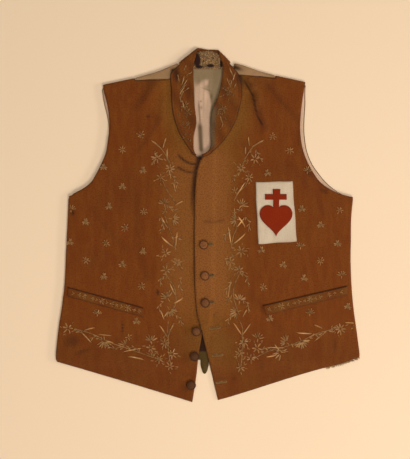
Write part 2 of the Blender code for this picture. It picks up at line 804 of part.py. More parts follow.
def make_lining():
    """The back's lining, which shows in the neck, beside the armholes and under the fronts' gap."""
    halves = {}
    for side in (RIGHT, LEFT):
        half = back_half(side, LINING_INSET, 1.6)
        hem = float(back_hem_y(np.array([side * 200.0]))[0]) + LINING_HEM
        half = half[half[:, 1] >= hem]
        shoulder = shoulder_line(side) - np.array([0.0, LINING_SHOULDER])
        across = shoulder[(shoulder[:, 0] * side < half[-1, 0] * side - 2) & (shoulder[:, 0] * side > 50)]
        halves[side] = np.vstack([half, across])
    x = np.arange(halves[LEFT][0, 0] - EDGE_STEP, halves[RIGHT][0, 0], -EDGE_STEP * 2)
    hem = np.column_stack([x, back_hem_y(x) + LINING_HEM])
    outline = np.vstack([halves[RIGHT], np.array(LINING_NECK), halves[LEFT][::-1], hem])
    outline = without_repeats(outline, 1.0)
    rows = []
    for y in np.linspace(LINING_FOLD_FOOT, LINING_FOLD_TOP, 6):
        rows.append(np.column_stack([np.arange(-24.0, 26.0, 3.2), np.full(16, y)]))
    cut = triangulate(outline, BACK_STEP, rows)
    cloth("back_lining", cut, place_lining, LINING_WALL, "lining")


def crease_of(side):
    """The crease as a line, its outward normal and a function that lays out what is behind it."""
    line = np.array(CREASE[side], float)
    normal = outward(line, (side * 90, 400))

    def lay_out(point):
        point = np.array(point, float)
        within = (line[0] - point) @ normal[0]
        return point + normal[0] * (2 * within + CREASE_LENGTH)

    return line, normal, lay_out


def roll_laid_out(side):
    """The roll from the centre back to the tip, with the stretch behind the crease laid out flat."""
    lay_out = crease_of(side)[2]
    return [lay_out(COLLAR_BEHIND[side][0]), *ROLL_LINE[side]]


def collar_outline(side):
    lay_out = crease_of(side)[2]
    roll = spline(roll_laid_out(side), COLLAR_STEP)
    lip = roll + outward(roll, (-side * 400, 200)) * ROLL_LENGTH
    free = spline(FREE_EDGE[side], COLLAR_STEP)
    corners = [free[0], *[lay_out(p) for p in COLLAR_BEHIND[side][:0:-1]], roll[0]]
    behind = [spline([a, b], COLLAR_STEP)[1:] for a, b in zip(corners, corners[1:])]
    return without_repeats(np.vstack([lip, free[::-1], *behind, (roll[0] + lip[0]) / 2]), 0.6)


def place_collar(side):
    line, normal, _ = crease_of(side)
    roll = spline(roll_laid_out(side), COLLAR_STEP)
    inwards = outward(roll, (-side * 400, 200))
    far = np.array([-200.0, 200.0])[:, None] * (line[1] - line[0]) / np.linalg.norm(line[1] - line[0])
    crease = line.mean(axis=0) + far

    def place(xy, rise):
        z = front_height(side, xy) + COLLAR_ON_FRONT
        past = foot_on(roll, inwards, xy)[2]
        z = z + ROLL_LIFT * np.exp(-((np.minimum(past, 0) / 9.0) ** 2)) * ease((262.0 - xy[:, 1]) / 30.0)
        xy, z = turn_over(xy, z + rise, roll, inwards, ROLL_RADIUS, z - ROLL_RADIUS)
        xy, z = turn_over(xy, z, crease, normal, CREASE_RADIUS, CREASE_AXIS_Z)
        return np.column_stack([xy, z])

    return place


def make_collar(side):
    line, normal, _ = crease_of(side)
    roll = spline(roll_laid_out(side), COLLAR_STEP)
    inwards = outward(roll, (-side * 400, 200))
    rows = [roll + inwards * ROLL_LENGTH * k / 3 for k in range(3)]
    along = line[0] + (line[1] - line[0]) * np.linspace(-0.2, 1.2, 8)[:, None]
    rows += [along + normal[0] * CREASE_LENGTH * k / 6 for k in range(7)]
    rows += lap_rows(side)
    cut = triangulate(collar_outline(side), COLLAR_STEP, rows)
    name = "left_collar" if side == LEFT else "right_collar"
    cloth(name, cut, place_collar(side), COLLAR_WALL, "collar_cloth")


def place_facing(xy, rise):
    """The band lies on the collar's fall behind it, and steps up over the lining's edge at its foot."""
    step = ease((FACING_STEP_TOP - xy[:, 1]) / FACING_STEP_RUN)
    return np.column_stack([xy, FACING_Z + rise + step * FACING_RISE])


def make_facing():
    top = spline(FACING_TOP, 6.0)
    foot = spline([FACING_TOP[-1], FACING_TOP[0]], 6.0)[1:-1]
    outline = np.vstack([top, foot])
    rows = []
    for y in (FACING_STEP_TOP, FACING_STEP_TOP - FACING_STEP_RUN / 2, FACING_STEP_TOP - FACING_STEP_RUN):
        rows.append(np.column_stack([np.arange(-24.0, 28.0, 6.0), np.full(9, y)]))
    cut = triangulate(outline, 8.0, rows)
    cloth("collar_facing", cut, place_facing, FACING_WALL, "facing")


def on_front(side, lift):
    """Carries a cut to a height above the middle of the front's wall."""

    def place(xy, rise):
        return np.column_stack([xy, front_height(side, xy) + lift + rise])

    return place


def make_welt(side):
    corners = np.array(WELTS[side], float)
    outline = [spline([a, b], EDGE_STEP)[:-1] for a, b in zip(corners, np.roll(corners, -1, axis=0))]
    cut = triangulate(np.vstack(outline), EDGE_STEP)
    lift = PANEL_WALL / 2 + GAP + WELT_WALL / 2
    name = "left_welt" if side == LEFT else "right_welt"
    cloth(name, cut, on_front(side, lift), WELT_WALL, "rust_cloth")


def heart_and_cross():
    """A plain heart from its usual formula, with an upright cross standing in its notch."""
    scale = HEART_WIDTH / 32.0
    start = math.asin((CROSS_FOOT_HALF / scale / 16.0) ** (1 / 3))
    t = np.linspace(start, 2 * math.pi - start, 44)
    x = 16 * np.sin(t) ** 3
    y = 13 * np.cos(t) - 5 * np.cos(2 * t) - 2 * np.cos(3 * t) - np.cos(4 * t)
    heart = np.column_stack([x, y * HEART_STRETCH]) * scale + np.array(HEART_MIDDLE)
    return np.vstack([heart, np.array(CROSS)])


def make_badge():
    corners = np.array(PATCH_CORNERS)
    edges = [spline([a, b], EDGE_STEP)[:-1] for a, b in zip(corners, np.roll(corners, -1, axis=0))]
    patch_lift = PANEL_WALL / 2 + GAP + PATCH_WALL / 2
    cut = triangulate(np.vstack(edges), FRONT_STEP)
    cloth("badge", cut, on_front(LEFT, patch_lift), PATCH_WALL, "linen")
    lift = patch_lift + PATCH_WALL / 2 + GAP + EMBLEM_WALL / 2
    cut = triangulate(heart_and_cross(), EDGE_STEP)
    cloth("badge_heart", cut, on_front(LEFT, lift), EMBLEM_WALL, "red_cloth")


def make_button(index, x, y):
    """A covered button, turned from its profile, with the thread shank that it is sewn on by."""
    at = np.array([[x, y]])
    sewn = front_height(RIGHT, at)[0] + PANEL_WALL / 2 + GAP
    fastened = index < FASTENED
    seat = front_height(LEFT, at)[0] + PANEL_WALL / 2 + GAP if fastened else sewn + 0.8
    profile = [(0.0, sewn - seat), (SHANK_RADIUS, sewn - seat), (SHANK_RADIUS, 0.0), *BUTTON_PROFILE]
    work = bmesh.new()
    points = [work.verts.new((r * MM, 0.0, z * MM)) for r, z in profile]
    edges = [work.edges.new(pair) for pair in zip(points, points[1:])]
    bmesh.ops.spin(
        work,
        geom=points + edges,
        cent=(0, 0, 0),
        axis=(0, 0, 1),
        angle=2 * math.pi,
        steps=BUTTON_SIDES,
        use_merge=True,
    )
    bmesh.ops.remove_doubles(work, verts=work.verts, dist=1e-6)
    bmesh.ops.recalc_face_normals(work, faces=work.faces)
    name = f"button_{index + 1}"
    mesh = bpy.data.meshes.new(name)
    work.to_mesh(mesh)
    work.free()
    mesh.materials.append(material("button_cloth"))
    mesh.shade_smooth()
    mesh.set_sharp_from_angle(angle=math.radians(50))
    obj = bpy.data.objects.new(name, mesh)
    obj.location = (x * MM, y * MM, seat * MM)
    bpy.context.scene.collection.objects.link(obj)


def main():
    clear_scene()
    make_back()
    make_lining()
    make_facing()
    for side in (RIGHT, LEFT):
        make_front(side)
        make_collar(side)
        make_welt(side)
    make_badge()
    for index, (x, y) in enumerate(BUTTONS):
        make_button(index, x, y)


main()
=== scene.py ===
"""An embroidered waistcoat that lies on its back on a pale surface, seen from straight above.

Metres, +Z up. X runs to the picture's right, Y towards the collar, and the back rests on Z = 0.
Right and left are the wearer's, so the right front is on the -X side. The left front laps over it.
Tables of places hold millimetres, which become metres when a mesh is made.
"""

import math

import bpy
import numpy as np
from bpy.props import FloatProperty, FloatVectorProperty, PointerProperty
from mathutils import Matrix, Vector
from mathutils.geometry import delaunay_2d_cdt


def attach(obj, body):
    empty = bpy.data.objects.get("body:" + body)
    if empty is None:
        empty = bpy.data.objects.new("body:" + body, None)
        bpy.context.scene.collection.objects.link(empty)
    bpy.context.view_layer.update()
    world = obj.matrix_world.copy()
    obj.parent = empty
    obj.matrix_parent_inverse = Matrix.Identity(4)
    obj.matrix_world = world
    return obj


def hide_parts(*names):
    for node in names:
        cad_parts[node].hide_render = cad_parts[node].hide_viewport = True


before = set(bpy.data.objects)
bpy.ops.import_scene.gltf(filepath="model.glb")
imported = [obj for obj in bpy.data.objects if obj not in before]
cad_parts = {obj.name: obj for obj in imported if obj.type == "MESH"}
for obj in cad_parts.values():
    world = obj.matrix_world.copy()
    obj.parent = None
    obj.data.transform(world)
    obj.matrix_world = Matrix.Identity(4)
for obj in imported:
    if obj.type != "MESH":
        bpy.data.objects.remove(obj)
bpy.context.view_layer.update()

bl_info = {
    "name": "Embroidered waistcoat",
    "version": (1, 0, 0),
    "blender": (4, 5, 0),
    "location": "3D View > Sidebar > Waistcoat",
    "description": "Builds an old embroidered waistcoat laid flat, piece by piece",
    "category": "Object",
}

MM = 0.001
RIGHT = -1
LEFT = 1
SIDES = (RIGHT, LEFT)
WORD = {RIGHT: "right", LEFT: "left"}

# Walls and heights of the cloth layers
PANEL_WALL = 2.0
LINING_WALL = 1.0
COLLAR_WALL = 1.8
FACING_WALL = 1.6
WELT_WALL = 1.5
PATCH_WALL = 1.0
EMBLEM_WALL = 1.2
GAP = 0.3
BACK_Z = PANEL_WALL / 2
LINING_Z = PANEL_WALL + GAP + LINING_WALL / 2
FRONT_Z = 4.8
COLLAR_ON_FRONT = PANEL_WALL / 2 + GAP + COLLAR_WALL / 2
WELT_ON_FRONT = PANEL_WALL / 2 + GAP + WELT_WALL / 2
PATCH_ON_FRONT = PANEL_WALL / 2 + GAP + PATCH_WALL / 2
EMBLEM_ON_FRONT = PATCH_ON_FRONT + PATCH_WALL / 2 + GAP + EMBLEM_WALL / 2
LAP_LIFT = PANEL_WALL + GAP
LAP_START = 15.0
LAP_RUN = 9.0
LAP_TOP = 152.0
LAP_TOP_RUN = 32.0

# Each wall thins by this share towards its rim, over this reach
RIM_THIN = 0.45
RIM_REACH = 0.5

# Steps between points where no property sets them
SIDE_COARSE = 12.0
SHOULDER_COARSE = 9.0
OUTLINE_STEP = 3.0
EMBLEM_STEP = 1.6
CLEAR_OF_FOLD = 1.5
CLEAR_OF_SEAM = 1.5
LEAST_STEP = 0.8

# Turns at the sides and shoulders, the collar's roll and its crease behind the shoulder
TURN_RADIUS = (FRONT_Z - BACK_Z) / 2
TURN_AXIS_Z = (FRONT_Z + BACK_Z) / 2
TURN_LENGTH = math.pi * TURN_RADIUS
FRONT_TURN = TURN_LENGTH * 155 / 180
BACK_INSET = 0.5
WEDGE_SPACE = 1.0
LINING_INSET = 4.0
NECK_INSET = 2.4
LINING_HEM = 15.0
LINING_SHOULDER = 6.0
UNDERARM_ROOM = 4.0
ROLL_RADIUS = 1.2
ROLL_LENGTH = ROLL_RADIUS * math.radians(100)
ROLL_LIFT = 1.0
CREASE_AXIS_Z = 4.0
CREASE_RADIUS = FRONT_Z + COLLAR_ON_FRONT - CREASE_AXIS_Z
CREASE_LENGTH = math.pi * CREASE_RADIUS
FACING_Z = CREASE_AXIS_Z - CREASE_RADIUS + COLLAR_WALL / 2 + GAP + FACING_WALL / 2
FACING_RISE = LINING_Z + LINING_WALL / 2 + GAP + FACING_WALL / 2 - FACING_Z

# Side folds: height on the garment, then x on the right and on the left
SIDE_ROWS = (
    (49, -242, 252), (12, -243.5, 248.5), (-30, -245.5, 248), (-62, -247, 247.5), (-104, -249, 249),
    (-146, -254, 252.5), (-178, -259, 257), (-224, -264, 263), (-240, -264.5, 265),
)
# Armholes: height, x of the back's edge on the right and left, and how much of it the front leaves bare
ARMHOLE_ROWS = (
    (252, -185.5, 172, 1, 1), (234, -186, 170.8, 3.5, 3), (213, -182.6, 170.9, 5.5, 6.4),
    (192, -177.6, 169.7, 4, 7.4), (171, -174.3, 168.9, 1.5, 7.5), (150, -175.3, 170.3, 0, 7.4),
    (128, -178.8, 174.4, 0, 6.9), (107, -187.2, 183, 0, 7), (86, -198, 197.6, 0, 9.5),
    (75.5, -204.6, 206.6, 0, 10.5), (65, -217.4, 218.3, 0, 8.5), (55, -235.6, 233.5, 0, 3),
    (49, -242, 252, 0, 0),
)
# Shoulder folds, from the armhole to the collar: x, y, and how far below the fold the seam lies on top
SEAM_JUMP = {RIGHT: -128.0, LEFT: 118.0}
SHOULDER_ROWS = {
    RIGHT: (
        (-191, 242, 2.4), (-145, 251.6, 2.4), (-128, 255.3, 2.4), (-104, 262, 7.5), (-86, 267.3, 13.5),
        (-68, 274.7, 19), (-54, 280.6, 24),
    ),
    LEFT: (
        (178, 246.6, 2.4), (131, 256.8, 2.4), (118, 259.6, 2.4), (94, 266, 6), (76, 272, 10.7),
        (62, 277, 14.8), (47, 281.4, 18),
    ),
}
WEDGE_END = {RIGHT: (0.0, -2.0), LEFT: (8.0, -1.0)}

# Front edges and hems: x, y
EDGE = {
    RIGHT: (
        (1, 108), (0, -33.4), (-1.8, -135.5), (-8.8, -184.8), (-15.8, -222.8), (-21.5, -272.8),
        (-27.6, -311),
    ),
    LEFT: (
        (-13.2, 116.2), (-19.4, 93.3), (-23.6, 35.2), (-23.6, -89.8), (-19.4, -152.2), (-9.4, -193.6),
        (3.5, -248.2), (17.4, -307.6),
    ),
}
HEM = {
    RIGHT: ((-27.6, -311), (-90, -292), (-170, -268), (-264.5, -240)),
    LEFT: ((17.4, -307.6), (44, -300.2), (160, -263.5), (240, -240.6), (265, -231.5)),
}
BACK_HEM_CENTRE = -237.0
BACK_HEM_SIDE = -231.0
BACK_TAIL = (
    (1.6, -237), (1, -246), (-0.9, -254.6), (-3.2, -259.8), (-5.9, -261.6), (-8.6, -259.8),
    (-10.9, -254.6), (-12.8, -246), (-13.4, -237),
)

# The collar: its roll, free edge, crease and what lies behind the crease
ROLL_LINE = {
    RIGHT: (
        (-21.5, 303.7), (-27, 280), (-26.7, 244.6), (-24.6, 204.2), (-22, 177.8), (-26.6, 156.6),
        (-26.7, 132), (-24.6, 125.5), (-21.5, 122),
    ),
    LEFT: (
        (21, 299), (27.4, 280), (25, 249.9), (18.6, 223.5), (8, 197.1), (5.6, 163.7), (6.4, 139),
        (2.6, 129), (-4, 124.4), (-10, 122.2),
    ),
}
FREE_EDGE = {
    RIGHT: (
        (-50, 281.2), (-58.5, 273.4), (-65.6, 265), (-64.8, 240), (-63, 204.2), (-58, 181.3),
        (-49.3, 158.4), (-32.5, 132), (-27, 124.5), (-22.6, 120.6),
    ),
    LEFT: (
        (36.8, 283.2), (46.4, 273), (54.6, 262), (59.8, 230.6), (53.2, 197.1), (44, 172.5), (26.4, 146.1),
        (7.4, 127.4), (-2, 120.7), (-10.8, 118.8),
    ),
}
CREASE = {RIGHT: ((-50, 281.2), (-21.5, 303.7)), LEFT: ((36.8, 283.2), (21, 299))}
COLLAR_BEHIND = {
    RIGHT: ((0.6, 305.9), (0.6, 276.6), (-30, 276.6), (-38, 277.8)),
    LEFT: ((1.2, 305.9), (1.2, 276.6), (26, 276.6), (32, 277.8)),
}
FACING_TOP = (
    (28.6, 273.4), (27.6, 286), (20.6, 297.6), (8, 304.6), (-13, 304.8), (-21, 300), (-25.4, 286),
    (-26.4, 273.4),
)
FACING_STEP_TOP = 282.0
FACING_STEP_RUN = 6.0
BACK_NECK = ((-50, 277), (-40, 275.9), (-30, 275.2), (30, 275.2), (36, 276), (43, 278))
LINING_NECK = ((-40, 272), (-26, 275.3), (30, 275.3), (44, 271))

# Large folds: start x, y, end x, y, height and half width
FOLDS = {
    RIGHT: (
        (-84, 254, -112, 210, 2.6, 10), (-93, 188, -120, 134, 1.8, 12), (-60, 113.5, -20, 107.4, 1.4, 4.5),
        (-62, 97, -24, 89.8, 1.4, 4.5), (-198, 26, -116, -64, 1.6, 26), (-204, -172, -90, -206, 1.6, 24),
        (-142, 84, -100, 20, 1.3, 20),
    ),
    LEFT: (
        (71, 257, 77, 238, 3, 4.6), (78, 246, 90, 212, 3.6, 6.5), (80, 224, 100, 160, 2.8, 9),
        (104, 240, 146, 194, 2.2, 10), (0, 9, 34, 8, 1.2, 5), (118, 92, 208, 4, 1.6, 26),
        (58, -108, 170, -196, 1.5, 24), (182, -150, 216, -214, 1.6, 18),
    ),
}
FOLD_FADE = 16.0
LINING_FOLDS = ((-14, -14, 0.9), (-5, -8, 1.1), (4, -3, 0.8), (13, 1, 0.6))
LINING_FOLD_TOP = 262.0
LINING_FOLD_FOOT = 128.0
LINING_FOLD_WIDTH = 3.4

# Pocket welts: the four corners from the side inwards, top edge then lower edge
WELTS = {
    RIGHT: ((-245.5, -108.8), (-113.3, -144.8), (-112.6, -161.6), (-245.5, -124.9)),
    LEFT: ((244, -106.5), (95.6, -140.8), (101.7, -157.6), (244.6, -122.4)),
}

# The linen patch with its heart and cross
PATCH_CORNERS = ((87.6, -33.4), (155.8, -28.9), (147.4, 77.6), (82.7, 75.8))
HEART_MIDDLE = (119.0, 11.8)
HEART_WIDTH = 57.5
HEART_STRETCH = 1.067
CROSS_FOOT_HALF = 5.1
CROSS = (
    (114.2, 44.2), (99.8, 44.2), (99.8, 54), (113.6, 54), (113.3, 62.7), (126.7, 62.7), (126, 54),
    (137.5, 54), (137.5, 44.2), (124.4, 44.2),
)

# Buttons, top to bottom: x, y, and how worn and dark each is. The first three are through their holes.
BUTTONS = (
    (-7.4, -34.7, 0.1), (-5.3, -89.1, 0.15), (-4.8, -136.4, 0.45), (-20.2, -186.6, 0.55),
    (-23.6, -230.4, 0.95), (-29.4, -281.1, 0.9),
)
FASTENED = 3
BUTTON_RADIUS = 8.3
SHANK_ROOM = 4.0
HOLE_LENGTH = 17.0
HOLE_SHIFT = 6.6
HOLE_RISE = math.radians(5)
OPEN_HOLES = ((11.8, -180.4), (16.7, -228.3), (23.4, -276))
OPEN_HOLE_WIDTH = 1.4
FRAYED_FROM = 208.0
FILLED_HOLE_WIDTH = 3.6


def size_property(name, text, default, least):
    """A length whose default and least value are stated in millimetres."""
    return FloatProperty(name=name, description=text, default=default * MM, min=least * MM, unit="LENGTH")


def light_property(name, text, default, unit="POWER"):
    return FloatProperty(name=name, description=text, default=default, min=0.0, unit=unit)


def swatch(name, text, default):
    return FloatVectorProperty(
        name=name, description=text, default=default, min=0.0, max=1.0, size=3, subtype="COLOR"
    )


class WaistcoatSizes(bpy.types.PropertyGroup):
    """Sizes that set how fine the cloth and its needlework are."""

    cloth_step: size_property("Cloth step", "Distance between the points of each front panel", 3.2, 0.5)
    collar_step: size_property("Collar step", "Distance between the points of collar and welts", 2.0, 0.5)
    hidden_step: size_property("Back step", "Distance between the points of back and lining", 6.0, 1.0)
    weave: size_property("Weave", "Distance from one thread of the silk to the next", 0.55, 0.1)
    petal_height: size_property("Petal height", "How far the stitches stand above the cloth", 0.75, 0.1)
    button_diameter: size_property("Button diameter", "Width of each button", 2 * BUTTON_RADIUS, 8.0)


class WaistcoatColours(bpy.types.PropertyGroup):
    """Colours of the cloths and threads."""

    silk: swatch("Rust silk", "The fronts where they are least faded", (0.184, 0.039, 0.0015))
    silk_worn: swatch("Faded silk", "The fronts near the middle and the hem", (0.212, 0.077, 0.008))
    # Colour of the painted light beside the front edges
    silk_rubbed: swatch("Rubbed silk", "The paler strip beside the front edges", (0.270, 0.088, 0.016))
    collar: swatch("Collar silk", "The darker silk of the collar", (0.182, 0.043, 0.003))
    back: swatch("Back cotton", "The plain cloth of the back", (0.400, 0.216, 0.098))
    back_stained: swatch("Stained cotton", "The olive tail of the back", (0.112, 0.068, 0.0075))
    lining: swatch("Lining", "The pinkish lining in the neck", (0.640, 0.400, 0.250))
    # Also the colour of the painted shade in the lining's valleys and at the collar's roll
    lining_old: swatch("Stained lining", "The greenish upper part of the lining", (0.240, 0.160, 0.072))
    band: swatch("Neck band", "The worn band inside the neck", (0.330, 0.180, 0.075))
    band_dark: swatch("Neck band stain", "The dark ends of the band", (0.024, 0.007, 0.004))
    thread: swatch("Straw thread", "The silk of the embroidery", (0.820, 0.420, 0.140))
    thread_green: swatch("Faded green thread", "The silk of the paler blossoms", (0.720, 0.375, 0.118))
    thread_brown: swatch("Brown thread", "The silk of the stems, near the cloth's", (0.330, 0.150, 0.042))
    linen: swatch("Linen", "The patch on the breast", (0.680, 0.520, 0.350))
    red: swatch("Red cloth", "The heart and its cross", (0.225, 0.017, 0.0006))
    button: swatch("Button cloth", "The covered buttons", (0.225, 0.078, 0.020))
    # Used for old dirt and stains, and for painted shade in creases, gaps, rims and grooves
    soil_and_shade: swatch("Soil and shade", "Old dirt along edges, seams and creases", (0.030, 0.008, 0.002))


class WaistcoatStage(bpy.types.PropertyGroup):
    """The floor, the lights and the camera."""

    floor: swatch("Floor", "Colour of the plain surface", (0.900, 0.660, 0.430))
    overhead: light_property("Overhead light", "Power of the large soft light above", 18.0)
    slanting: light_property("Slanting light", "Power of the light from the lower right", 52.0)
    low: light_property("Low light", "Power of the low light on the right, for wide shadows", 26.0)
    room: light_property("Room light", "Strength of the even light from all round", 0.25, "NONE")
    height: size_property("Camera height", "Height of the camera above the surface", 1570.0, 500.0)


def sizes():
    return bpy.context.scene.waistcoat_sizes


def colour(name):
    return tuple(getattr(bpy.context.scene.waistcoat_colours, name))


# Lines and planes


def ease(t):
    t = np.clip(t, 0.0, 1.0)
    return t * t * (3.0 - 2.0 * t)


def bell(x, width):
    """From 1 at zero down to nothing past twice the width."""
    return np.exp(-((x / width) ** 2))


def spline(points, step):
    """A smooth line through the points, with about one point for each step."""
    p = np.array([point[:2] for point in points], float)
    if len(p) == 2:
        count = max(1, round(np.linalg.norm(p[1] - p[0]) / step))
        return p[0] + (p[1] - p[0]) * np.linspace(0, 1, count + 1)[:, None]
    before = np.vstack([2 * p[0] - p[1], p, 2 * p[-1] - p[-2]])
    made = []
    for a, b, c, d in zip(before, before[1:], before[2:], before[3:]):
        tight = np.linalg.norm(c - b)
        into = (c - a) / max(np.linalg.norm(c - a), 1e-9) * tight
        out = (d - b) / max(np.linalg.norm(d - b), 1e-9) * tight
        for t in np.linspace(0, 1, max(1, round(tight / step)), endpoint=False):
            ease_b = 2 * t**3 - 3 * t**2 + 1
            made.append(ease_b * b + (t**3 - 2 * t**2 + t) * into + (1 - ease_b) * c + (t**3 - t**2) * out)
    made.append(p[-1])
    return np.array(made)


def outward(line, towards):
    """A unit normal at each point of the line, on the side of the point named."""
    along = np.gradient(line, axis=0)
    along /= np.linalg.norm(along, axis=1)[:, None]
    normal = np.stack([-along[:, 1], along[:, 0]], axis=1)
    middle = line[len(line) // 2]
    if normal[len(line) // 2] @ (np.array(towards, float) - middle) < 0:
        normal = -normal
    return normal


def foot_on(line, normal, xy):
    """For each point: its foot on the line, the normal there and the signed distance past the line."""
    start = line[:-1]
    run = line[1:] - start
    t = np.einsum("psk,sk->ps", xy[:, None] - start[None], run) / np.einsum("sk,sk->s", run, run)
    t = np.clip(t, 0, 1)
    feet = start[None] + run[None] * t[..., None]
    nearest = np.argmin(np.linalg.norm(xy[:, None] - feet, axis=2), axis=1)
    rows = np.arange(len(xy))
    foot = feet[rows, nearest]
    share = t[rows, nearest][:, None]
    n = normal[:-1][nearest] * (1 - share) + normal[1:][nearest] * share
    n /= np.linalg.norm(n, axis=1)[:, None]
    return foot, n, np.einsum("pk,pk->p", xy - foot, n)


def turn_over(xy, z, line, normal, radius, axis_z):
    """Carries what lies past the line round an axis below or above it, and back along its other side."""
    _, n, past = foot_on(line, normal, xy)
    angle = np.clip(past / radius, 0, math.pi)
    height = z - axis_z
    reach = np.abs(height) * np.sin(angle) - np.maximum(past - math.pi * radius, 0)
    turned = past > 0
    new_xy = np.where(turned[:, None], xy + n * (reach - past)[:, None], xy)
    new_z = np.where(turned, axis_z + height * np.cos(angle), z)
    return new_xy, new_z


def in_blocks(work, xy, width):
    """Runs work on blocks of the points, so that wide tables stay small."""
    size = max(1, 4_000_000 // max(width, 1))
    parts = [work(xy[k : k + size]) for k in range(0, len(xy), size)]
    return np.concatenate(parts) if parts else np.zeros(0)


def inside(outline, xy):
    a = outline
    b = np.roll(outline, -1, axis=0)
    rise = np.where(b[:, 1] == a[:, 1], 1e-12, b[:, 1] - a[:, 1])

    def work(block):
        x, y = block[:, 0:1], block[:, 1:2]
        spans = (a[None, :, 1] > y) != (b[None, :, 1] > y)
        crossing = a[None, :, 0] + (y - a[None, :, 1]) / rise * (b[:, 0] - a[:, 0])
        return (spans & (x < crossing)).sum(axis=1) % 2 == 1

    return in_blocks(work, xy, len(outline))


def distance_to(loop, xy):
    run = np.roll(loop, -1, axis=0) - loop
    length = np.maximum(np.einsum("sk,sk->s", run, run), 1e-12)

    def work(block):
        apart = block[:, None] - loop[None]
        t = np.clip(np.einsum("psk,sk->ps", apart, run) / length, 0, 1)
        return np.linalg.norm(apart - run[None] * t[..., None], axis=2).min(axis=1)

    return in_blocks(work, xy, 3 * len(loop))


def apart_from(line, xy):
    """Distance of each point from an open line."""
    return distance_to(np.vstack([line, line[::-1]]), xy)


def without_repeats(points, least):
    kept = [points[0]]
    for point in points[1:]:
        if np.linalg.norm(point - kept[-1]) > least:
            kept.append(point)
    if np.linalg.norm(kept[0] - kept[-1]) <= least:
        kept.pop()
    return np.array(kept)


def resampled(outline, step):
    """The closed outline with points added, so that none are further apart than the step."""
    made = []
    for a, b in zip(outline, np.roll(outline, -1, axis=0)):
        count = max(1, math.ceil(np.linalg.norm(b - a) / step))
        made.append(a + (b - a) * np.linspace(0, 1, count, endpoint=False)[:, None])
    return np.vstack(made)


def grid(low, high, step):
    points = []
    for row, y in enumerate(np.arange(low[1], high[1], step * 0.87)):
        x = np.arange(low[0] + step / 2 * (row % 2), high[0], step)
        points.append(np.column_stack([x, np.full(len(x), y)]))
    return np.vstack(points)


def triangulate(outline, step, rows=(), holes=(), fine=None, fine_step=0.0, flat=None):
    """The flat cut as points and triangles: outline, holes, rows at the turns and an even grid.

    Where fine says so, the grid has the finer step. Where flat says no, only the rows have points.
    """
    loops = [outline, *holes]
    fixed = np.vstack(loops)
    edges = []
    first = 0
    for loop in loops:
        edges += [(first + i, first + (i + 1) % len(loop)) for i in range(len(loop))]
        first += len(loop)
    low, high = outline.min(axis=0), outline.max(axis=0)
    spread = grid(low, high, step)
    if fine is not None:
        close = grid(low, high, fine_step)
        spread = np.vstack([spread[~fine(spread)], close[fine(close)]])
    if flat is not None:
        spread = spread[flat(spread)]
    inner = np.vstack([spread, *rows])
    inner = inner[inside(outline, inner)]
    inner = inner[distance_to(outline, inner) > 0.45 * (fine_step or step)]
    for hole in holes:
        inner = inner[~inside(hole, inner)]
        inner = inner[distance_to(hole, inner) > 0.8]
    points = np.vstack([fixed, inner])
    made = delaunay_2d_cdt([Vector(p) for p in points], edges, [], 0, 1e-5)
    xy = np.array([v[:] for v in made[0]], float)
    faces = np.array([f[:] for f in made[2] if len(f) == 3], int)
    middle = xy[faces].mean(axis=1)
    keep = inside(outline, middle)
    for hole in holes:
        keep &= ~inside(hole, middle)
    faces = faces[keep]
    sides = xy[faces] - np.roll(xy[faces], 1, axis=1)
    longest = np.linalg.norm(sides, axis=2).max(axis=1)
    a, b = sides[:, 0], sides[:, 1]
    faces = faces[np.abs(a[:, 0] * b[:, 1] - a[:, 1] * b[:, 0]) > 0.005 * longest**2]
    used = np.unique(faces)
    order = np.full(len(xy), -1)
    order[used] = np.arange(len(used))
    return xy[used], order[faces]


# Where the cloth lies


def side_fold(side, step=4.0):
    """The fold at the side and its outward normals."""
    column = 1 if side == RIGHT else 2
    line = spline([(row[column], row[0]) for row in SIDE_ROWS], step)
    return line, outward(line, (side * 400, -90))


def shoulder_fold(side, step=4.0):
    """The fold at the shoulder and its normals, which point away from the hem."""
    line = spline(SHOULDER_ROWS[side], step)
    return line, outward(line, (side * 90, 400))


def past_side(side, xy):
    return foot_on(*side_fold(side, SIDE_COARSE), xy)[2]


def past_shoulder(side, xy):
    return foot_on(*shoulder_fold(side, SHOULDER_COARSE), xy)[2]


def shoulder_y(side, x):
    rows = np.array(sorted(SHOULDER_ROWS[side]))
    return np.interp(x, rows[:, 0], rows[:, 1])


def armhole(side, inset, step=4.0):
    column = 1 if side == RIGHT else 2
    rows = [(row[column] - side * inset * row[column + 2], row[0]) for row in ARMHOLE_ROWS]
    return spline(rows, step)


def edge_x(table, y):
    rows = np.array(sorted((row[1], row[0]) for row in table))
    return np.interp(y, rows[:, 0], rows[:, 1])


def back_hem_y(x):
    reach = SIDE_ROWS[-1][2]
    return BACK_HEM_CENTRE + (BACK_HEM_SIDE - BACK_HEM_CENTRE) * np.clip(np.abs(x) / reach, 0, 1) ** 2


def ridge(xy, x0, y0, x1, y1, width):
    """From 0 to 1: a soft ridge from one point to the other that fades at both its ends."""
    start = np.array([x0, y0])
    run = np.array([x1 - x0, y1 - y0])
    length = np.linalg.norm(run)
    share = (xy - start) @ run / length**2
    aside = np.linalg.norm(xy - start - np.clip(share, 0, 1)[:, None] * run, axis=1)
    ends = ease(share * length / (2 * width) + 0.5) * ease((1 - share) * length / (2 * width) + 0.5)
    return ends * bell(aside, width)


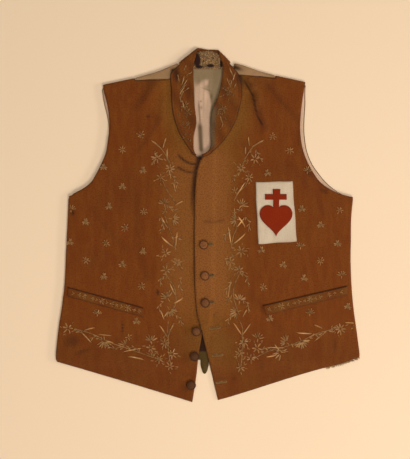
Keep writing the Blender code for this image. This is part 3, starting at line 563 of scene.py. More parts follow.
# Small creases: start x, y, end x, y, height and half width
CREASES = {
    RIGHT: (
        (-100, 230, -124, 196, 0.6, 5), (-76, 226, -86, 180, 0.5, 5), (-120, 244, -146, 214, 0.6, 5),
        (-66, 150, -90, 120, 0.5, 5), (-62, 104, -30, 99, -0.5, 3), (-160, 120, -178, 70, 0.6, 9),
        (-210, 30, -236, 36, 0.5, 6), (-206, -20, -238, -44, 0.5, 9), (-60, -60, -54, -150, 0.5, 8),
        (-84, -20, -90, -100, 0.5, 10), (-120, -170, -126, -250, 0.6, 9), (-180, -180, -190, -244, 0.6, 9),
        (-226, -170, -240, -226, 0.7, 8), (-60, -210, -64, -290, 0.5, 8),
    ),
    LEFT: (
        (62, 236, 70, 208, 0.7, 4), (92, 198, 104, 150, 0.8, 5), (112, 214, 128, 176, 0.7, 5),
        (134, 232, 150, 210, 0.6, 4.5), (44, 150, 60, 122, 0.5, 5), (96, 96, 128, 88, 0.5, 5),
        (166, 70, 184, 20, 0.7, 8), (200, 40, 214, -30, 0.6, 9), (44, -60, 52, -150, 0.5, 7),
        (60, -190, 62, -280, 0.6, 7), (96, -214, 98, -276, 0.5, 8), (150, -210, 154, -262, 0.6, 9),
        (196, -170, 204, -244, 0.6, 8), (16, -214, 40, -222, 0.5, 4), (22, -262, 52, -268, 0.5, 4),
        (2, 60, 10, 20, 0.4, 6),
    ),
}
# Slow unevenness of the laid cloth: wave along x and y in millimetres, phase and height
UNEVEN = (
    (61, 143, 0.4, 0.2), (-97, 71, 1.9, 0.22), (38, -83, 3.1, 0.12), (-29, -47, 5.2, 0.09),
    (173, 26, 2.4, 0.1),
)


def front_height(side, xy):
    """Height of the middle of a front's wall, with all its folds, where it lies on the layers below."""
    x, y = xy[:, 0], xy[:, 1]
    fade = ease(-past_side(side, xy) / FOLD_FADE) * ease(-past_shoulder(side, xy) / FOLD_FADE)
    folds = np.zeros(len(xy))
    for along_x, along_y, phase, height in UNEVEN:
        turn = 2 * math.pi * (x / along_x + y / along_y) + phase * side
        folds += height * (1 + np.sin(turn + 0.8 * np.sin(turn * 0.37)))
    for *ends, height, width in (*CREASES[side], *FOLDS[side]):
        folds += height * ridge(xy, *ends, width)
    drop = ease((back_hem_y(x) - y - 2.0) / 20.0)
    z = FRONT_Z + folds * fade - drop * (FRONT_Z - BACK_Z)
    if side == LEFT:
        lap = ease((edge_x(EDGE[RIGHT], y) + LAP_START - x) / LAP_RUN) * ease((LAP_TOP - y) / LAP_TOP_RUN)
        z = z + lap * LAP_LIFT * ease((edge_x(EDGE[RIGHT], y) - edge_x(EDGE[LEFT], y) + 14.0) / 10.0)
    return z


def place_front(side):
    folds = (side_fold(side, SIDE_COARSE), shoulder_fold(side, SHOULDER_COARSE))

    def place(xy, rise):
        z = front_height(side, xy) + rise
        for line, normal in folds:
            xy, z = turn_over(xy, z, line, normal, TURN_RADIUS, TURN_AXIS_Z)
        return np.column_stack([xy, z])

    return place


def on_front(side, lift):
    def place(xy, rise):
        return np.column_stack([xy, front_height(side, xy) + lift + rise])

    return place


def place_back(xy, rise):
    z = np.full(len(xy), BACK_Z + rise)
    for side in SIDES:
        xy, z = turn_over(xy, z, *shoulder_fold(side, SHOULDER_COARSE), TURN_RADIUS, TURN_AXIS_Z)
    return np.column_stack([xy, z])


def lining_fold(xy):
    """From 0 in the valleys to 1 on the crests of the lining's soft folds in the neck."""
    share = (LINING_FOLD_TOP - xy[:, 1]) / (LINING_FOLD_TOP - LINING_FOLD_FOOT)
    ends = ease(share * 5.0 + 0.3) * ease((1 - share) * 5.0)
    total = np.zeros(len(xy))
    for top_x, foot_x, height in LINING_FOLDS:
        middle = top_x + (foot_x - top_x) * share
        total += height * ends * bell(xy[:, 0] - middle, LINING_FOLD_WIDTH)
    return total


def place_lining(xy, rise):
    return np.column_stack([xy, LINING_Z + rise + lining_fold(xy)])


def crease_of(side):
    line = np.array(CREASE[side], float)
    normal = outward(line, (side * 90, 400))

    def lay_out(point):
        point = np.array(point, float)
        within = (line[0] - point) @ normal[0]
        return point + normal[0] * (2 * within + CREASE_LENGTH)

    return line, normal, lay_out


def collar_roll(side, step=8.0):
    roll = spline([crease_of(side)[2](COLLAR_BEHIND[side][0]), *ROLL_LINE[side]], step)
    return roll, outward(roll, (-side * 400, 200))


def place_collar(side):
    line, normal, _ = crease_of(side)
    roll, inwards = collar_roll(side)
    far = np.array([-200.0, 200.0])[:, None] * (line[1] - line[0]) / np.linalg.norm(line[1] - line[0])
    crease = line.mean(axis=0) + far

    def place(xy, rise):
        z = front_height(side, xy) + COLLAR_ON_FRONT
        past = foot_on(roll, inwards, xy)[2]
        z = z + ROLL_LIFT * bell(np.minimum(past, 0), 9.0) * ease((262.0 - xy[:, 1]) / 30.0)
        xy, z = turn_over(xy, z + rise, roll, inwards, ROLL_RADIUS, z - ROLL_RADIUS)
        xy, z = turn_over(xy, z, crease, normal, CREASE_RADIUS, CREASE_AXIS_Z)
        return np.column_stack([xy, z])

    return place


def place_facing(xy, rise):
    step = ease((FACING_STEP_TOP - xy[:, 1]) / FACING_STEP_RUN)
    worn = 0.22 * (1 + np.sin(xy[:, 0] * 0.9) * np.cos(xy[:, 1] * 0.7 + xy[:, 0] * 0.2))
    return np.column_stack([xy, FACING_Z + rise + step * FACING_RISE + worn * (rise > 0)])


# Cloth pieces


def put(obj_name, mesh, finish, replaced=()):
    """Links the mesh as a piece that rides on the garment and stands for the nodes named."""
    mesh.shade_smooth()
    mesh.update()
    obj = bpy.data.objects.new(obj_name, mesh)
    bpy.context.scene.collection.objects.link(obj)
    mesh.materials.clear()
    mesh.materials.append(finish)
    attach(obj, "root")
    if replaced:
        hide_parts(*replaced)
    return obj


def point_values(mesh, name, values):
    mesh.attributes.new(name, "FLOAT", "POINT").data.foreach_set("value", np.asarray(values, np.float32))


def mapped_mesh(name, points, faces, layer, flat):
    """A mesh from points in millimetres, with their places on the flat cut or thread as its UV layer."""
    mesh = bpy.data.meshes.new(name)
    mesh.from_pydata((points * MM).tolist(), [], faces)
    uv = mesh.uv_layers.new(name=layer)
    corner = np.zeros(len(mesh.loops), int)
    mesh.loops.foreach_get("vertex_index", corner)
    uv.data.foreach_set("uv", (flat * MM)[corner].astype(np.float32).ravel())
    return mesh


def cloth(name, cut, outline, place, wall, finish, node, paint):
    """A closed wall of cloth with soft edges, painted by functions of its flat cut."""
    xy, faces = cut
    count = len(xy)
    edge = distance_to(outline, xy)
    half = wall / 2 * (1 - RIM_THIN * np.exp(-edge / RIM_REACH))
    edges = [(int(f[k]), int(f[(k + 1) % 3])) for f in faces for k in range(3)]
    inner = set(edges)
    rim = [(b, a, a + count, b + count) for a, b in edges if (b, a) not in inner]
    sheets = faces.tolist() + (faces + count)[:, ::-1].tolist()
    points = np.vstack([place(xy, half), place(xy, -half)])
    mesh = mapped_mesh(name, points, sheets + rim, "cut", np.vstack([xy, xy]))
    for channel, values in {"edge": np.minimum(edge, 40.0), **paint(xy)}.items():
        point_values(mesh, channel, np.tile(values, 2))
    obj = put(name, mesh, finish, (node,))
    return obj


def turn_rows(line, normal, reach):
    """Rows of points, one millimetre apart, along what turns over past the line."""
    return [line + normal * far for far in np.arange(0.0, reach)]


def shoulder_seam(side, hidden, shown, jump_shift):
    """A cut's edge along the shoulder, at its reach past the fold where it is hidden and where it shows."""
    line, normal = shoulder_fold(side)
    jump = SEAM_JUMP[side] - side * jump_shift
    rows = np.array(sorted(SHOULDER_ROWS[side]))
    below = np.interp([*line[:, 0], jump], rows[:, 0], rows[:, 2])
    is_hidden = (line[:, 0] - jump) * side > 0
    at = int(is_hidden.sum())
    points = line + normal * np.where(is_hidden, hidden, shown(below[:-1]))[:, None]
    before, after = line[at - 1], line[at]
    foot = before + (after - before) * (jump - before[0]) / (after[0] - before[0])
    corners = [foot + normal[at] * hidden, foot + normal[at] * shown(below[-1])]
    return np.vstack([points[:at], corners, points[at:]])


def front_outline(side, step):
    fold, normal = side_fold(side)
    side_out = fold + normal * FRONT_TURN
    shoulder_out = shoulder_seam(side, FRONT_TURN, lambda below: -below, 0.0)
    hole = armhole(side, 1)
    limit = hole[0, 0]
    shoulder_out = shoulder_out[(shoulder_out[:, 0] - limit) * side < -2]
    top = np.array([[limit, shoulder_y(side, limit) + FRONT_TURN]])
    hole = hole[hole[:, 1] < top[0, 1] - CLEAR_OF_SEAM]
    neck = spline(ROLL_LINE[side][2:], step) + np.array([side * NECK_INSET, 0.0])
    neck_top = edge_x([(p[0] + side * NECK_INSET, p[1]) for p in ROLL_LINE[side]], np.array([256.0]))[0]
    hem = spline(HEM[side], step)
    side_out = side_out[side_out[:, 1] > hem[-1, 1] + 1.0]
    start = np.array([[neck_top, shoulder_out[-1, 1] - 1.0]])
    edge = spline(EDGE[side], step)
    joined = [start, neck[1:], edge, hem[1:], side_out[::-1], hole[::-1][1:], top, shoulder_out]
    return resampled(without_repeats(np.vstack(joined), LEAST_STEP), step)


def slot_loop(centre, length, width):
    """A narrow slot with round ends, raised a little towards its outer end."""
    along = np.array([math.cos(HOLE_RISE), math.sin(HOLE_RISE)])
    across = np.array([-along[1], along[0]])
    points = []
    for end in (1, -1):
        for turn in np.radians(np.linspace(-90, 90, 5)):
            forward = (length - width) / 2 + width / 2 * math.cos(turn)
            aside = width / 2 * math.sin(turn)
            points.append(np.array(centre) + end * along * forward + end * across * aside)
    return resampled(np.array(points), 2.2)


def buttonhole_places():
    """Centre, length and width of each hole in the left front."""
    filled = [((x + HOLE_SHIFT, y + 0.6), HOLE_LENGTH, FILLED_HOLE_WIDTH) for x, y, _ in BUTTONS[:FASTENED]]
    return filled + [(centre, HOLE_LENGTH, OPEN_HOLE_WIDTH) for centre in OPEN_HOLES]


# Dark spots, slits and stains of the fronts: x, y, half widths, turn in degrees and strength. The spots at
# the foot of the neck opening and the long one beside the top of the left collar are painted shade.
SPOTS = {
    RIGHT: (
        (-104.7, 190, 2.6, 2.6, 0, 0.8), (-17, 116.5, 5, 4, 0, 1), (-88, -118, 2.2, 5.6, 8, 1),
        (-149.7, -180, 1.3, 9.5, 0, 1), (-236.7, 21, 2.6, 4, 0, 1), (-238, -204, 15, 11, 20, 0.48),
        (-220, -222, 20, 5, 20, 0.42), (-216, -190, 9, 7, 0, 0.25), (-40, -286, 9, 12, 0, 0.35),
        (-150, 60, 60, 36, 30, 0.1), (-196, -60, 30, 22, 0, 0.12),
    ),
    LEFT: (
        (-12.5, 115.5, 2.5, 3, 0, 1), (10, -158, 1.7, 1.7, 0, 0.7), (2, -150, 1.4, 1.8, 0, 0.5),
        (24, -166, 1.6, 2.2, 0, 0.5), (58.5, 254, 3.2, 13, 8, 0.75), (176, 150, 16, 46, 20, 0.1),
        (176, 92, 10, 6, -50, 0.45), (203, 60, 9, 5, -30, 0.45), (150, 96, 34, 12, -24, 0.15),
        (94, -248, 3, 13, 0, 0.4), (222, -212, 4, 15, 0, 0.4), (24, -269, 15, 3, 4, 0.4),
        (46, -270, 6, 5, 0, 0.4), (96, 250, 26, 5, -10, 0.15),
    ),
}


# Painted shade that lies in creases and beside folds: half width, strength and the line's points
PAINTED_CREASE_SHADE = {
    RIGHT: (
        (8, 0.22, ((-98, 254), (-112, 230), (-124, 206))),
        (5, 0.22, ((-86, 186), (-100, 160), (-122, 130))),
        (2, 0.9, ((-51, 122), (-42, 113), (-30, 107), (-18, 107))),
        (1.7, 0.8, ((-52, 101), (-40, 94), (-24, 91))),
        (8, 0.18, ((-128, 60), (-122, 10), (-120, -40), (-108, -90))),
        (6, 0.15, ((-204, 30), (-176, -8), (-140, -44))),
        (3, 0.22, ((-160, -246), (-166, -222), (-160, -200))),
        (3, 0.2, ((-70, -230), (-66, -260), (-70, -290))),
    ),
    LEFT: (
        (1.7, 0.95, ((55, 261), (66, 247), (76, 232), (81, 214), (85, 196), (94.4, 175))),
        (6, 0.3, ((60, 258), (78, 240), (88, 205), (100, 170))),
        (4.5, 0.3, ((105, 245), (132, 211), (146, 198))), (7, 0.2, ((112, 238), (134, 212), (152, 190))),
        (3, 0.3, ((46, 246), (52, 214), (50, 190))), (2, 0.4, ((-6, 6), (8, 5), (28, 8))),
        (4, 0.2, ((60, 142), (74, 122), (90, 110))), (6, 0.14, ((150, 92), (180, 62), (204, 20))),
        (6, 0.28, ((161, 190), (162, 150), (168, 128), (176, 107), (188, 86), (197, 75), (210, 65))),
        (6, 0.14, ((74, -120), (120, -176), (168, -214))),
    ),
}


def spot(xy, x, y, wide, high, turn):
    turn = math.radians(turn)
    dx, dy = xy[:, 0] - x, xy[:, 1] - y
    u = (dx * math.cos(turn) + dy * math.sin(turn)) / wide
    v = (-dx * math.sin(turn) + dy * math.cos(turn)) / high
    return np.exp(-((u * u + v * v) ** 1.4))


def paint_front(side):
    """Fading towards the middle, painted light beside the front edges, dark spots, and painted shade in
    creases, towards the hem, along the rims and beside the left front's edge.
    """

    def paint(xy):
        x, y = xy[:, 0], xy[:, 1]
        middle = ease(1.15 - np.abs(x + 6.0) / 85.0)
        hem = 0.15 * ease((-170.0 - y + 0.1 * np.abs(x)) / 80.0)
        neck = ease((y - 120.0) / 80.0) * ease(1.25 - np.abs(x) / 110.0)
        faded = np.clip(0.75 * middle * ease((y + 280.0) / 90.0) + hem + 0.8 * neck, 0, 1)
        # Painted light: a paler band beside the front edges, as if lit from above the middle
        high = ease((y + 190.0) / 70.0) * ease((150.0 - y) / 40.0)
        rubbed = 0.6 * ease((x + 96.0) / 50.0) * high
        if side == LEFT:
            rubbed = ease((54.0 - x) / 34.0) * high
            rubbed = np.maximum(rubbed, 0.3 * ease((44.0 - x) / 34.0) * ease((-150.0 - y) / 40.0))
        # Painted shade: darker towards the hem, where the light is dimmer
        dark = [0.14 * ease((-150.0 - y - 0.1 * np.abs(x)) / 60.0)]
        dark += [share * spot(xy, *place) for *place, share in SPOTS[side]]
        # Painted shade along the creases and folds
        for width, share, points in PAINTED_CREASE_SHADE[side]:
            dark.append(share * bell(apart_from(spline(points, 6.0), xy), width))
        if side == RIGHT:
            # Painted shadow of the left front's edge on the right front, and painted shade on the right
            # front in the gap between the fronts
            under = x - edge_x(EDGE[LEFT], y) + 3.4
            dark.append(0.92 * bell(under, 4.2) * ease((y - 6.0) / 60.0))
            dark.append(0.95 * ease((under - 1.2) / 1.8) * ease((y + 230.0) / 30.0))
        # Where the painted shadow of the rims is strongest: along the hem and front edges
        sharp = sum(bell(apart_from(np.array(line[side], float), xy), 9.0) for line in (HEM, EDGE))
        return {
            "faded": faded,
            "rubbed": rubbed,
            "dark": np.maximum.reduce(dark),
            "outlined": np.clip(0.3 + sharp, 0, 1),
        }

    return paint


def make_front(side):
    step = sizes().cloth_step / MM
    outline = front_outline(side, step)
    rows = turn_rows(*side_fold(side), FRONT_TURN) + turn_rows(*shoulder_fold(side), FRONT_TURN)
    holes = [slot_loop(*hole) for hole in buttonhole_places()] if side == LEFT else ()

    def flat(p):
        return (past_side(side, p) < -CLEAR_OF_FOLD) & (past_shoulder(side, p) < -CLEAR_OF_FOLD)

    cut = triangulate(outline, step, rows, holes, flat=flat)
    node = WORD[side] + "_front"
    finish = silk_material()
    place = place_front(side)
    paint = paint_front(side)
    cloth(node + "_silk", cut, outline, place, PANEL_WALL, finish, node, paint)


def back_wedge(side):
    shoulder, normal = shoulder_fold(side)
    out = shoulder_seam(side, -BACK_INSET, lambda below: TURN_LENGTH + below - WEDGE_SPACE, WEDGE_SPACE)
    limit = armhole(side, 0)[0, 0]
    slant, end = WEDGE_END[side]
    left = (out[:, 0] - shoulder[-1, 0]) * side
    out = out[((out[:, 0] - limit) * side < -1) & (left >= max(slant, end + 1.0))]
    foot = shoulder[-1] + (shoulder[-2] - shoulder[-1]) * end / np.linalg.norm(shoulder[-2] - shoulder[-1])
    return np.vstack([out, foot + normal[-1] * (TURN_LENGTH + 0.5), foot, foot - normal[-1] * CLEAR_OF_SEAM])


def back_half(side, inset, hole_inset):
    fold = side_fold(side)[0][::-1] - np.array([side * inset, 0.0])
    hole = armhole(side, 0)[::-1] - np.array([side * hole_inset, 0.0])
    underarm = hole[0, 1]
    fold = fold[fold[:, 1] < underarm - inset]
    hole = hole[hole[:, 1] > underarm + UNDERARM_ROOM]
    shoulder_end = shoulder_y(side, hole[-1, 0])
    return np.vstack([fold, hole[1:][hole[1:, 1] < shoulder_end - inset - CLEAR_OF_SEAM]])


def paint_back(xy):
    """The olive tail and hem in the gap, the dark line of the left armhole, and painted shade at the ends by
    the collar.
    """
    x, y = xy[:, 0], xy[:, 1]
    left_hole = ease((x - 150.0) / 4.0) * ease((y - 44.0) / 6.0) * ease((250.0 - y) / 6.0)
    dark = left_hole * bell(apart_from(back_half(LEFT, 0.0, 0.0), xy), 1.5)
    tail = ease((-200.0 - y) / 10.0) * ease((30.0 - np.abs(x + 6.0)) / 6.0)
    dark = np.maximum(dark, 0.45 * tail)
    # Painted shade in the hollow under the collar's free edge, at each end
    dark = np.maximum(dark, 0.95 * spot(xy, -68.8, 288.5, 4.5, 6.0, 20.0))
    dark = np.maximum(dark, 0.95 * spot(xy, 53.5, 290.6, 11.0, 4.0, -12.0))
    uneven = 0.10 + 0.12 * np.sin(x / 19.0) * np.cos(y / 23.0) + 0.22 * ease((x - 40.0) / 20.0)
    return {"faded": np.clip(np.maximum(uneven, 1.3 * tail), 0, 1.3), "dark": dark}


def make_back():
    step = sizes().hidden_step / MM
    right, left = (back_half(side, BACK_INSET, 0.0) for side in SIDES)
    x = np.arange(left[0, 0] - step, right[0, 0] + step / 2, -step)
    tail = spline(BACK_TAIL, 2.0)
    before, after = x[x > tail[0, 0] + step], x[x < tail[-1, 0] - step]
    hem = np.vstack([np.column_stack([part, back_hem_y(part)]) for part in (before, after)])
    hem = np.insert(hem, len(before), tail, axis=0)
    right[0, 1] = left[0, 1] = BACK_HEM_SIDE
    right, left = (half[half[:, 1] >= BACK_HEM_SIDE] for half in (right, left))
    parts = [right, back_wedge(RIGHT), np.array(BACK_NECK), back_wedge(LEFT)[::-1], left[::-1], hem]
    outline = resampled(without_repeats(np.vstack(parts), LEAST_STEP), OUTLINE_STEP)
    rows = [row for side in SIDES for row in turn_rows(*shoulder_fold(side), TURN_LENGTH + 0.2)]

    def flat(p):
        past = np.maximum(past_shoulder(RIGHT, p), past_shoulder(LEFT, p))
        return (past < -CLEAR_OF_FOLD) | (past > TURN_LENGTH + CLEAR_OF_FOLD)

    def fine(p):
        bare = (p[:, 0] > 140.0) & (distance_to(back_half(LEFT, 0.0, 0.0), p) < 9.0)
        return bare | (p[:, 1] > 248.0)

    cut = triangulate(outline, step, rows, fine=fine, fine_step=2.4, flat=flat)
    finish = material("Back cotton", cotton, "back", "back_stained")
    cloth("back_cotton", cut, outline, place_back, PANEL_WALL, finish, "back", paint_back)


def paint_lining(xy):
    """Stained green at the top, green painted shade at the side and in the valleys, pinkish white on the
    folds, and painted shade at the foot and in the gap between the fronts.
    """
    x, y = xy[:, 0], xy[:, 1]
    wave = 2.0 * np.sin(y / 9.0)
    top = ease((y - 226.0 + 0.5 * (x + 10.0)) / 26.0)
    pink = 0.65 * spot(xy, -4.0, 250.0, 9.0, 6.0, 10.0) + 0.5 * spot(xy, -13.0, 240.0, 6.0, 8.0, 0.0)
    # Painted shade, in green, beside the left half of the collar
    side = ease((x - 1.0 + 0.06 * (y - 200.0) + wave) / 6.0) * ease((y - 150.0) / 30.0)
    left = 0.9 * ease((-22.0 - x) / 3.0) * ease((y - 214.0) / 12.0)
    # Painted shade in the valleys of the folds
    valley = ease((y - 124.0) / 10.0) * ease((186.0 - y) / 16.0)
    valley = valley * bell(x + 14.0 + (y - 171.0) * 0.05, 3.9)
    stained = np.clip(np.maximum.reduce([top - pink, 0.95 * side, left, 1.1 * valley]), 0, 1)
    # Painted shade: the black gap at the foot of the neck opening, and the lining in the gap between the
    # fronts
    foot = spot(xy, -15.0, 116.5, 9.0, 7.0, 20.0)
    gap = 0.99 * ease((-60.0 - y) / 60.0)
    marks = 0.55 * spot(xy, -12.5, 217.0, 1.8, 1.6, 0.0) + 0.4 * spot(xy, -12.0, 206.0, 2.0, 3.0, 0.0)
    marks += 0.4 * spot(xy, -3.0, 238.0, 9.0, 1.2, -20.0) + 0.4 * spot(xy, 6.0, 226.0, 2.0, 6.0, 0.0)
    seam = 0.65 * bell(x + 14.5 + 0.07 * (y - 189.0), 1.3) * ease((y - 176.0) / 9.0)
    seam = seam * ease((222.0 - y) / 14.0)
    shade = 0.55 * valley + 0.25 * ease((x - 3.0) / 4.0) * ease((190.0 - y) / 20.0)
    neck = ease((70.0 - np.abs(x)) / 10.0)
    stained, shade = stained * neck, shade * neck
    return {
        # The share of the green: the stain at the top and the painted shade
        "faded": np.maximum(stained, ease((-60.0 - y) / 60.0)),
        "dark": np.clip(foot + marks + gap + seam + shade, 0, 1),
    }


def make_lining():
    step = sizes().hidden_step / MM
    halves = {}
    for side in SIDES:
        half = back_half(side, LINING_INSET, 1.6)
        hem = float(back_hem_y(np.array([side * 200.0]))[0]) + LINING_HEM
        half = half[half[:, 1] >= hem]
        shoulder = shoulder_fold(side)[0] - np.array([0.0, LINING_SHOULDER])
        across = shoulder[(shoulder[:, 0] * side < half[-1, 0] * side - 2) & (shoulder[:, 0] * side > 50)]
        halves[side] = np.vstack([half, across])
    x = np.arange(halves[LEFT][0, 0] - step, halves[RIGHT][0, 0] + step / 2, -step)
    hem = np.column_stack([x, back_hem_y(x) + LINING_HEM])
    outline = np.vstack([halves[RIGHT], np.array(LINING_NECK), halves[LEFT][::-1], hem])
    outline = resampled(without_repeats(outline, LEAST_STEP), OUTLINE_STEP)

    def fine(p):
        return (np.abs(p[:, 0]) < 34.0) & (p[:, 1] > 100.0)

    cut = triangulate(outline, step, fine=fine, fine_step=1.6)
    finish = material("Lining", cotton, "lining", "lining_old")
    place, node = place_lining, "back_lining"
    cloth("neck_lining", cut, outline, place, LINING_WALL, finish, node, paint_lining)


def collar_outline(side, step):
    lay_out = crease_of(side)[2]
    roll, inwards = collar_roll(side, step)
    lip = roll + inwards * ROLL_LENGTH
    free = spline(FREE_EDGE[side], step)
    corners = [free[0], *[lay_out(p) for p in COLLAR_BEHIND[side][:0:-1]], roll[0]]
    behind = [spline([a, b], step)[1:] for a, b in zip(corners, corners[1:])]
    return without_repeats(np.vstack([lip, free[::-1], *behind, (roll[0] + lip[0]) / 2]), 0.5)


def paint_collar(side):
    """A dark edge of painted shadow with a fainter dark line inside it, soft ribs that follow it, painted
    shade at the top of the free edge, and olive painted shade where the left half rolls inwards.
    """

    def paint(xy):
        near = apart_from(spline(FREE_EDGE[side], 3.0), xy)
        # Painted shadow along the free edge, where it stands over the front
        dark = 0.75 * bell(near, 1.1) + 0.18 * bell(near - 4.6, 1.4)
        ribs = 0.16 * (0.5 + 0.5 * np.sin(near * 2 * math.pi / 4.6)) * ease((40.0 - near) / 10.0)
        shade = 0.5 * spot(xy, side * 55.0, 262.0, 6.0, 14.0, 0.0)
        patches = 0.22 * (0.5 + 0.5 * np.sin(xy[:, 1] / 7.0 + xy[:, 0] / 5.0))
        dark = np.clip(dark + ribs + shade + patches, 0, 1)
        result = {"faded": np.clip(0.9 - near / 40.0, 0, 1), "dark": dark}
        if side == LEFT:
            # Painted shade, in the lining's green, where the left half rolls inwards
            roll = edge_x(ROLL_LINE[LEFT], xy[:, 1])
            stain = ease((10.0 - (xy[:, 0] - roll)) / 8.0) * ease((xy[:, 1] - 128.0) / 12.0)
            result["stained"] = 0.8 * stain * ease((214.0 - xy[:, 1]) / 16.0)
        return result

    return paint


def make_collar(side):
    step = sizes().collar_step / MM
    roll, inwards = collar_roll(side, step)
    rows = [roll + inwards * ROLL_LENGTH * k / 4 for k in range(4)]
    outline = collar_outline(side, step)
    cut = triangulate(outline, step, rows, flat=lambda p: foot_on(roll, inwards, p)[2] < -0.6)
    node = WORD[side] + "_collar"
    finish = material("Collar silk", collar_silk)
    place = place_collar(side)
    paint = paint_collar(side)
    cloth(node + "_silk", cut, outline, place, COLLAR_WALL, finish, node, paint)


def paint_facing(xy):
    x, y = xy[:, 0], xy[:, 1]
    ends = 1.2 * spot(xy, -19.5, 290.0, 6.5, 13.0, 6.0) + 1.1 * spot(xy, 24.5, 286.0, 3.6, 11.0, -10.0)
    foot = spot(xy, 4.0, 279.5, 8.0, 3.4, 0.0) + 0.7 * spot(xy, -14.0, 277.0, 8.0, 2.6, 0.0)
    holes = spot(xy, -8.0, 288.0, 1.6, 1.4, 0.0) + spot(xy, 9.0, 293.0, 1.4, 2.0, 0.0)
    return {"faded": ease((y - 276.0) / 24.0), "dark": np.clip(ends + foot + holes, 0, 1)}


def make_facing():
    step = sizes().collar_step / MM * 0.7
    foot = spline([FACING_TOP[-1], FACING_TOP[0]], step)[1:-1]
    outline = np.vstack([spline(FACING_TOP, step), foot])
    cut = triangulate(outline, step)
    finish = material("Worn neck band", knotted)
    place, node = place_facing, "collar_facing"
    cloth("neck_band", cut, outline, place, FACING_WALL, finish, node, paint_facing)


def paint_welt(side):
    def paint(xy):
        top, foot = np.array(WELTS[side], float).reshape(2, 2, 2)
        # Painted shadow along the welt's top edge, a thin dark line along its foot, and a darker ground
        dark = 0.95 * bell(distance_to(top, xy), 1.5) + 0.55 * bell(distance_to(foot, xy), 0.9) + 0.18
        return {"faded": 0.4 + 0.2 * np.sin(xy[:, 0] / 9.0), "dark": np.clip(dark, 0, 1)}

    return paint


def make_welt(side):
    step = sizes().collar_step / MM
    outline = resampled(np.array(WELTS[side], float), step)
    cut = triangulate(outline, step)
    node = WORD[side] + "_welt"
    finish = silk_material()
    place = on_front(side, WELT_ON_FRONT)
    paint = paint_welt(side)
    cloth(node + "_silk", cut, outline, place, WELT_WALL, finish, node, paint)


def heart_and_cross():
    """A plain heart from its usual formula, with an upright cross standing in its notch."""
    scale = HEART_WIDTH / 32.0
    start = math.asin((CROSS_FOOT_HALF / scale / 16.0) ** (1 / 3))
    t = np.linspace(start, 2 * math.pi - start, 90)
    x = 16 * np.sin(t) ** 3
    y = 13 * np.cos(t) - 5 * np.cos(2 * t) - 2 * np.cos(3 * t) - np.cos(4 * t)
    heart = np.column_stack([x, y * HEART_STRETCH]) * scale + np.array(HEART_MIDDLE)
    return np.vstack([heart, np.array(CROSS)])


def make_badge():
    step = sizes().collar_step / MM
    corners = np.array(PATCH_CORNERS)
    outline = resampled(corners, step)
    sway = 0.5 * np.sin(outline[:, 1] / 9.0) + 0.4 * np.sin(outline[:, 0] / 7.0)
    outline = outline + np.column_stack([sway, -sway]) * 0.8

    def paint_linen(xy):
        near = distance_to(outline, xy)
        shaded = distance_to(corners[[0, 3, 2, 3]], xy)
        dark = 0.25 * bell(near, 0.8) + 0.45 * bell(shaded, 1.6)
        return {"faded": 0.35 * np.exp(-near / 4.0), "dark": dark}

    cut = triangulate(outline, step)
    place = on_front(LEFT, PATCH_ON_FRONT)
    finish = material("Linen", cotton, "linen", "back")
    below = ["left_front"]
    cloth("badge_linen", cut, outline, place, PATCH_WALL, finish, "badge", paint_linen)
    edge = resampled(heart_and_cross(), EMBLEM_STEP)
    cut = triangulate(edge, EMBLEM_STEP)
    place = on_front(LEFT, EMBLEM_ON_FRONT)
    finish = material("Red cloth", red_cloth)
    node, below = "badge_heart", ["badge"]
    cloth("badge_heart_cloth", cut, edge, place, EMBLEM_WALL, finish, node, paint_red)


def paint_red(xy):
    zero = np.zeros(len(xy))
    return {"faded": zero + 0.3, "dark": zero}


# Needlework: each stitch is a short raised almond of thread, laid on the cloth by its own place function


# A satin stitch seen flat: share of its length, of its half width, and of its height
ALMOND = (
    (0, 0, 0), (0.1, 0.55, 0), (0.32, 0.95, 0), (0.6, 1, 0), (0.85, 0.6, 0), (1, 0, 0), (0.85, -0.6, 0),
    (0.6, -1, 0), (0.32, -0.95, 0), (0.1, -0.55, 0), (0.22, 0, 0.8), (0.55, 0, 1), (0.82, 0, 0.7),
)
ALMOND_RIM = 10
PULL_WIDTH = 0.32
PULL_HEIGHT = 0.12
STRAND = 0.42 * MM


def almond_faces():
    """Faces of one stitch: its raised top inside the rim, the dented cloth round it, and its underside."""
    points = [Vector(p[:2]) for p in ALMOND]
    edges = [(k, (k + 1) % ALMOND_RIM) for k in range(ALMOND_RIM)]
    top = [tuple(f) for f in delaunay_2d_cdt(points, edges, [], 1, 1e-6)[2]]
    a, b, c = (points[k] for k in top[0])
    if (b - a).cross(c - a) < 0:
        top = [f[::-1] for f in top]
    outer = len(ALMOND)
    skirt = [(k, outer + k, outer + (k + 1) % ALMOND_RIM, (k + 1) % ALMOND_RIM) for k in range(ALMOND_RIM)]
    under = tuple(outer + k for k in range(ALMOND_RIM))
    return top, skirt, under


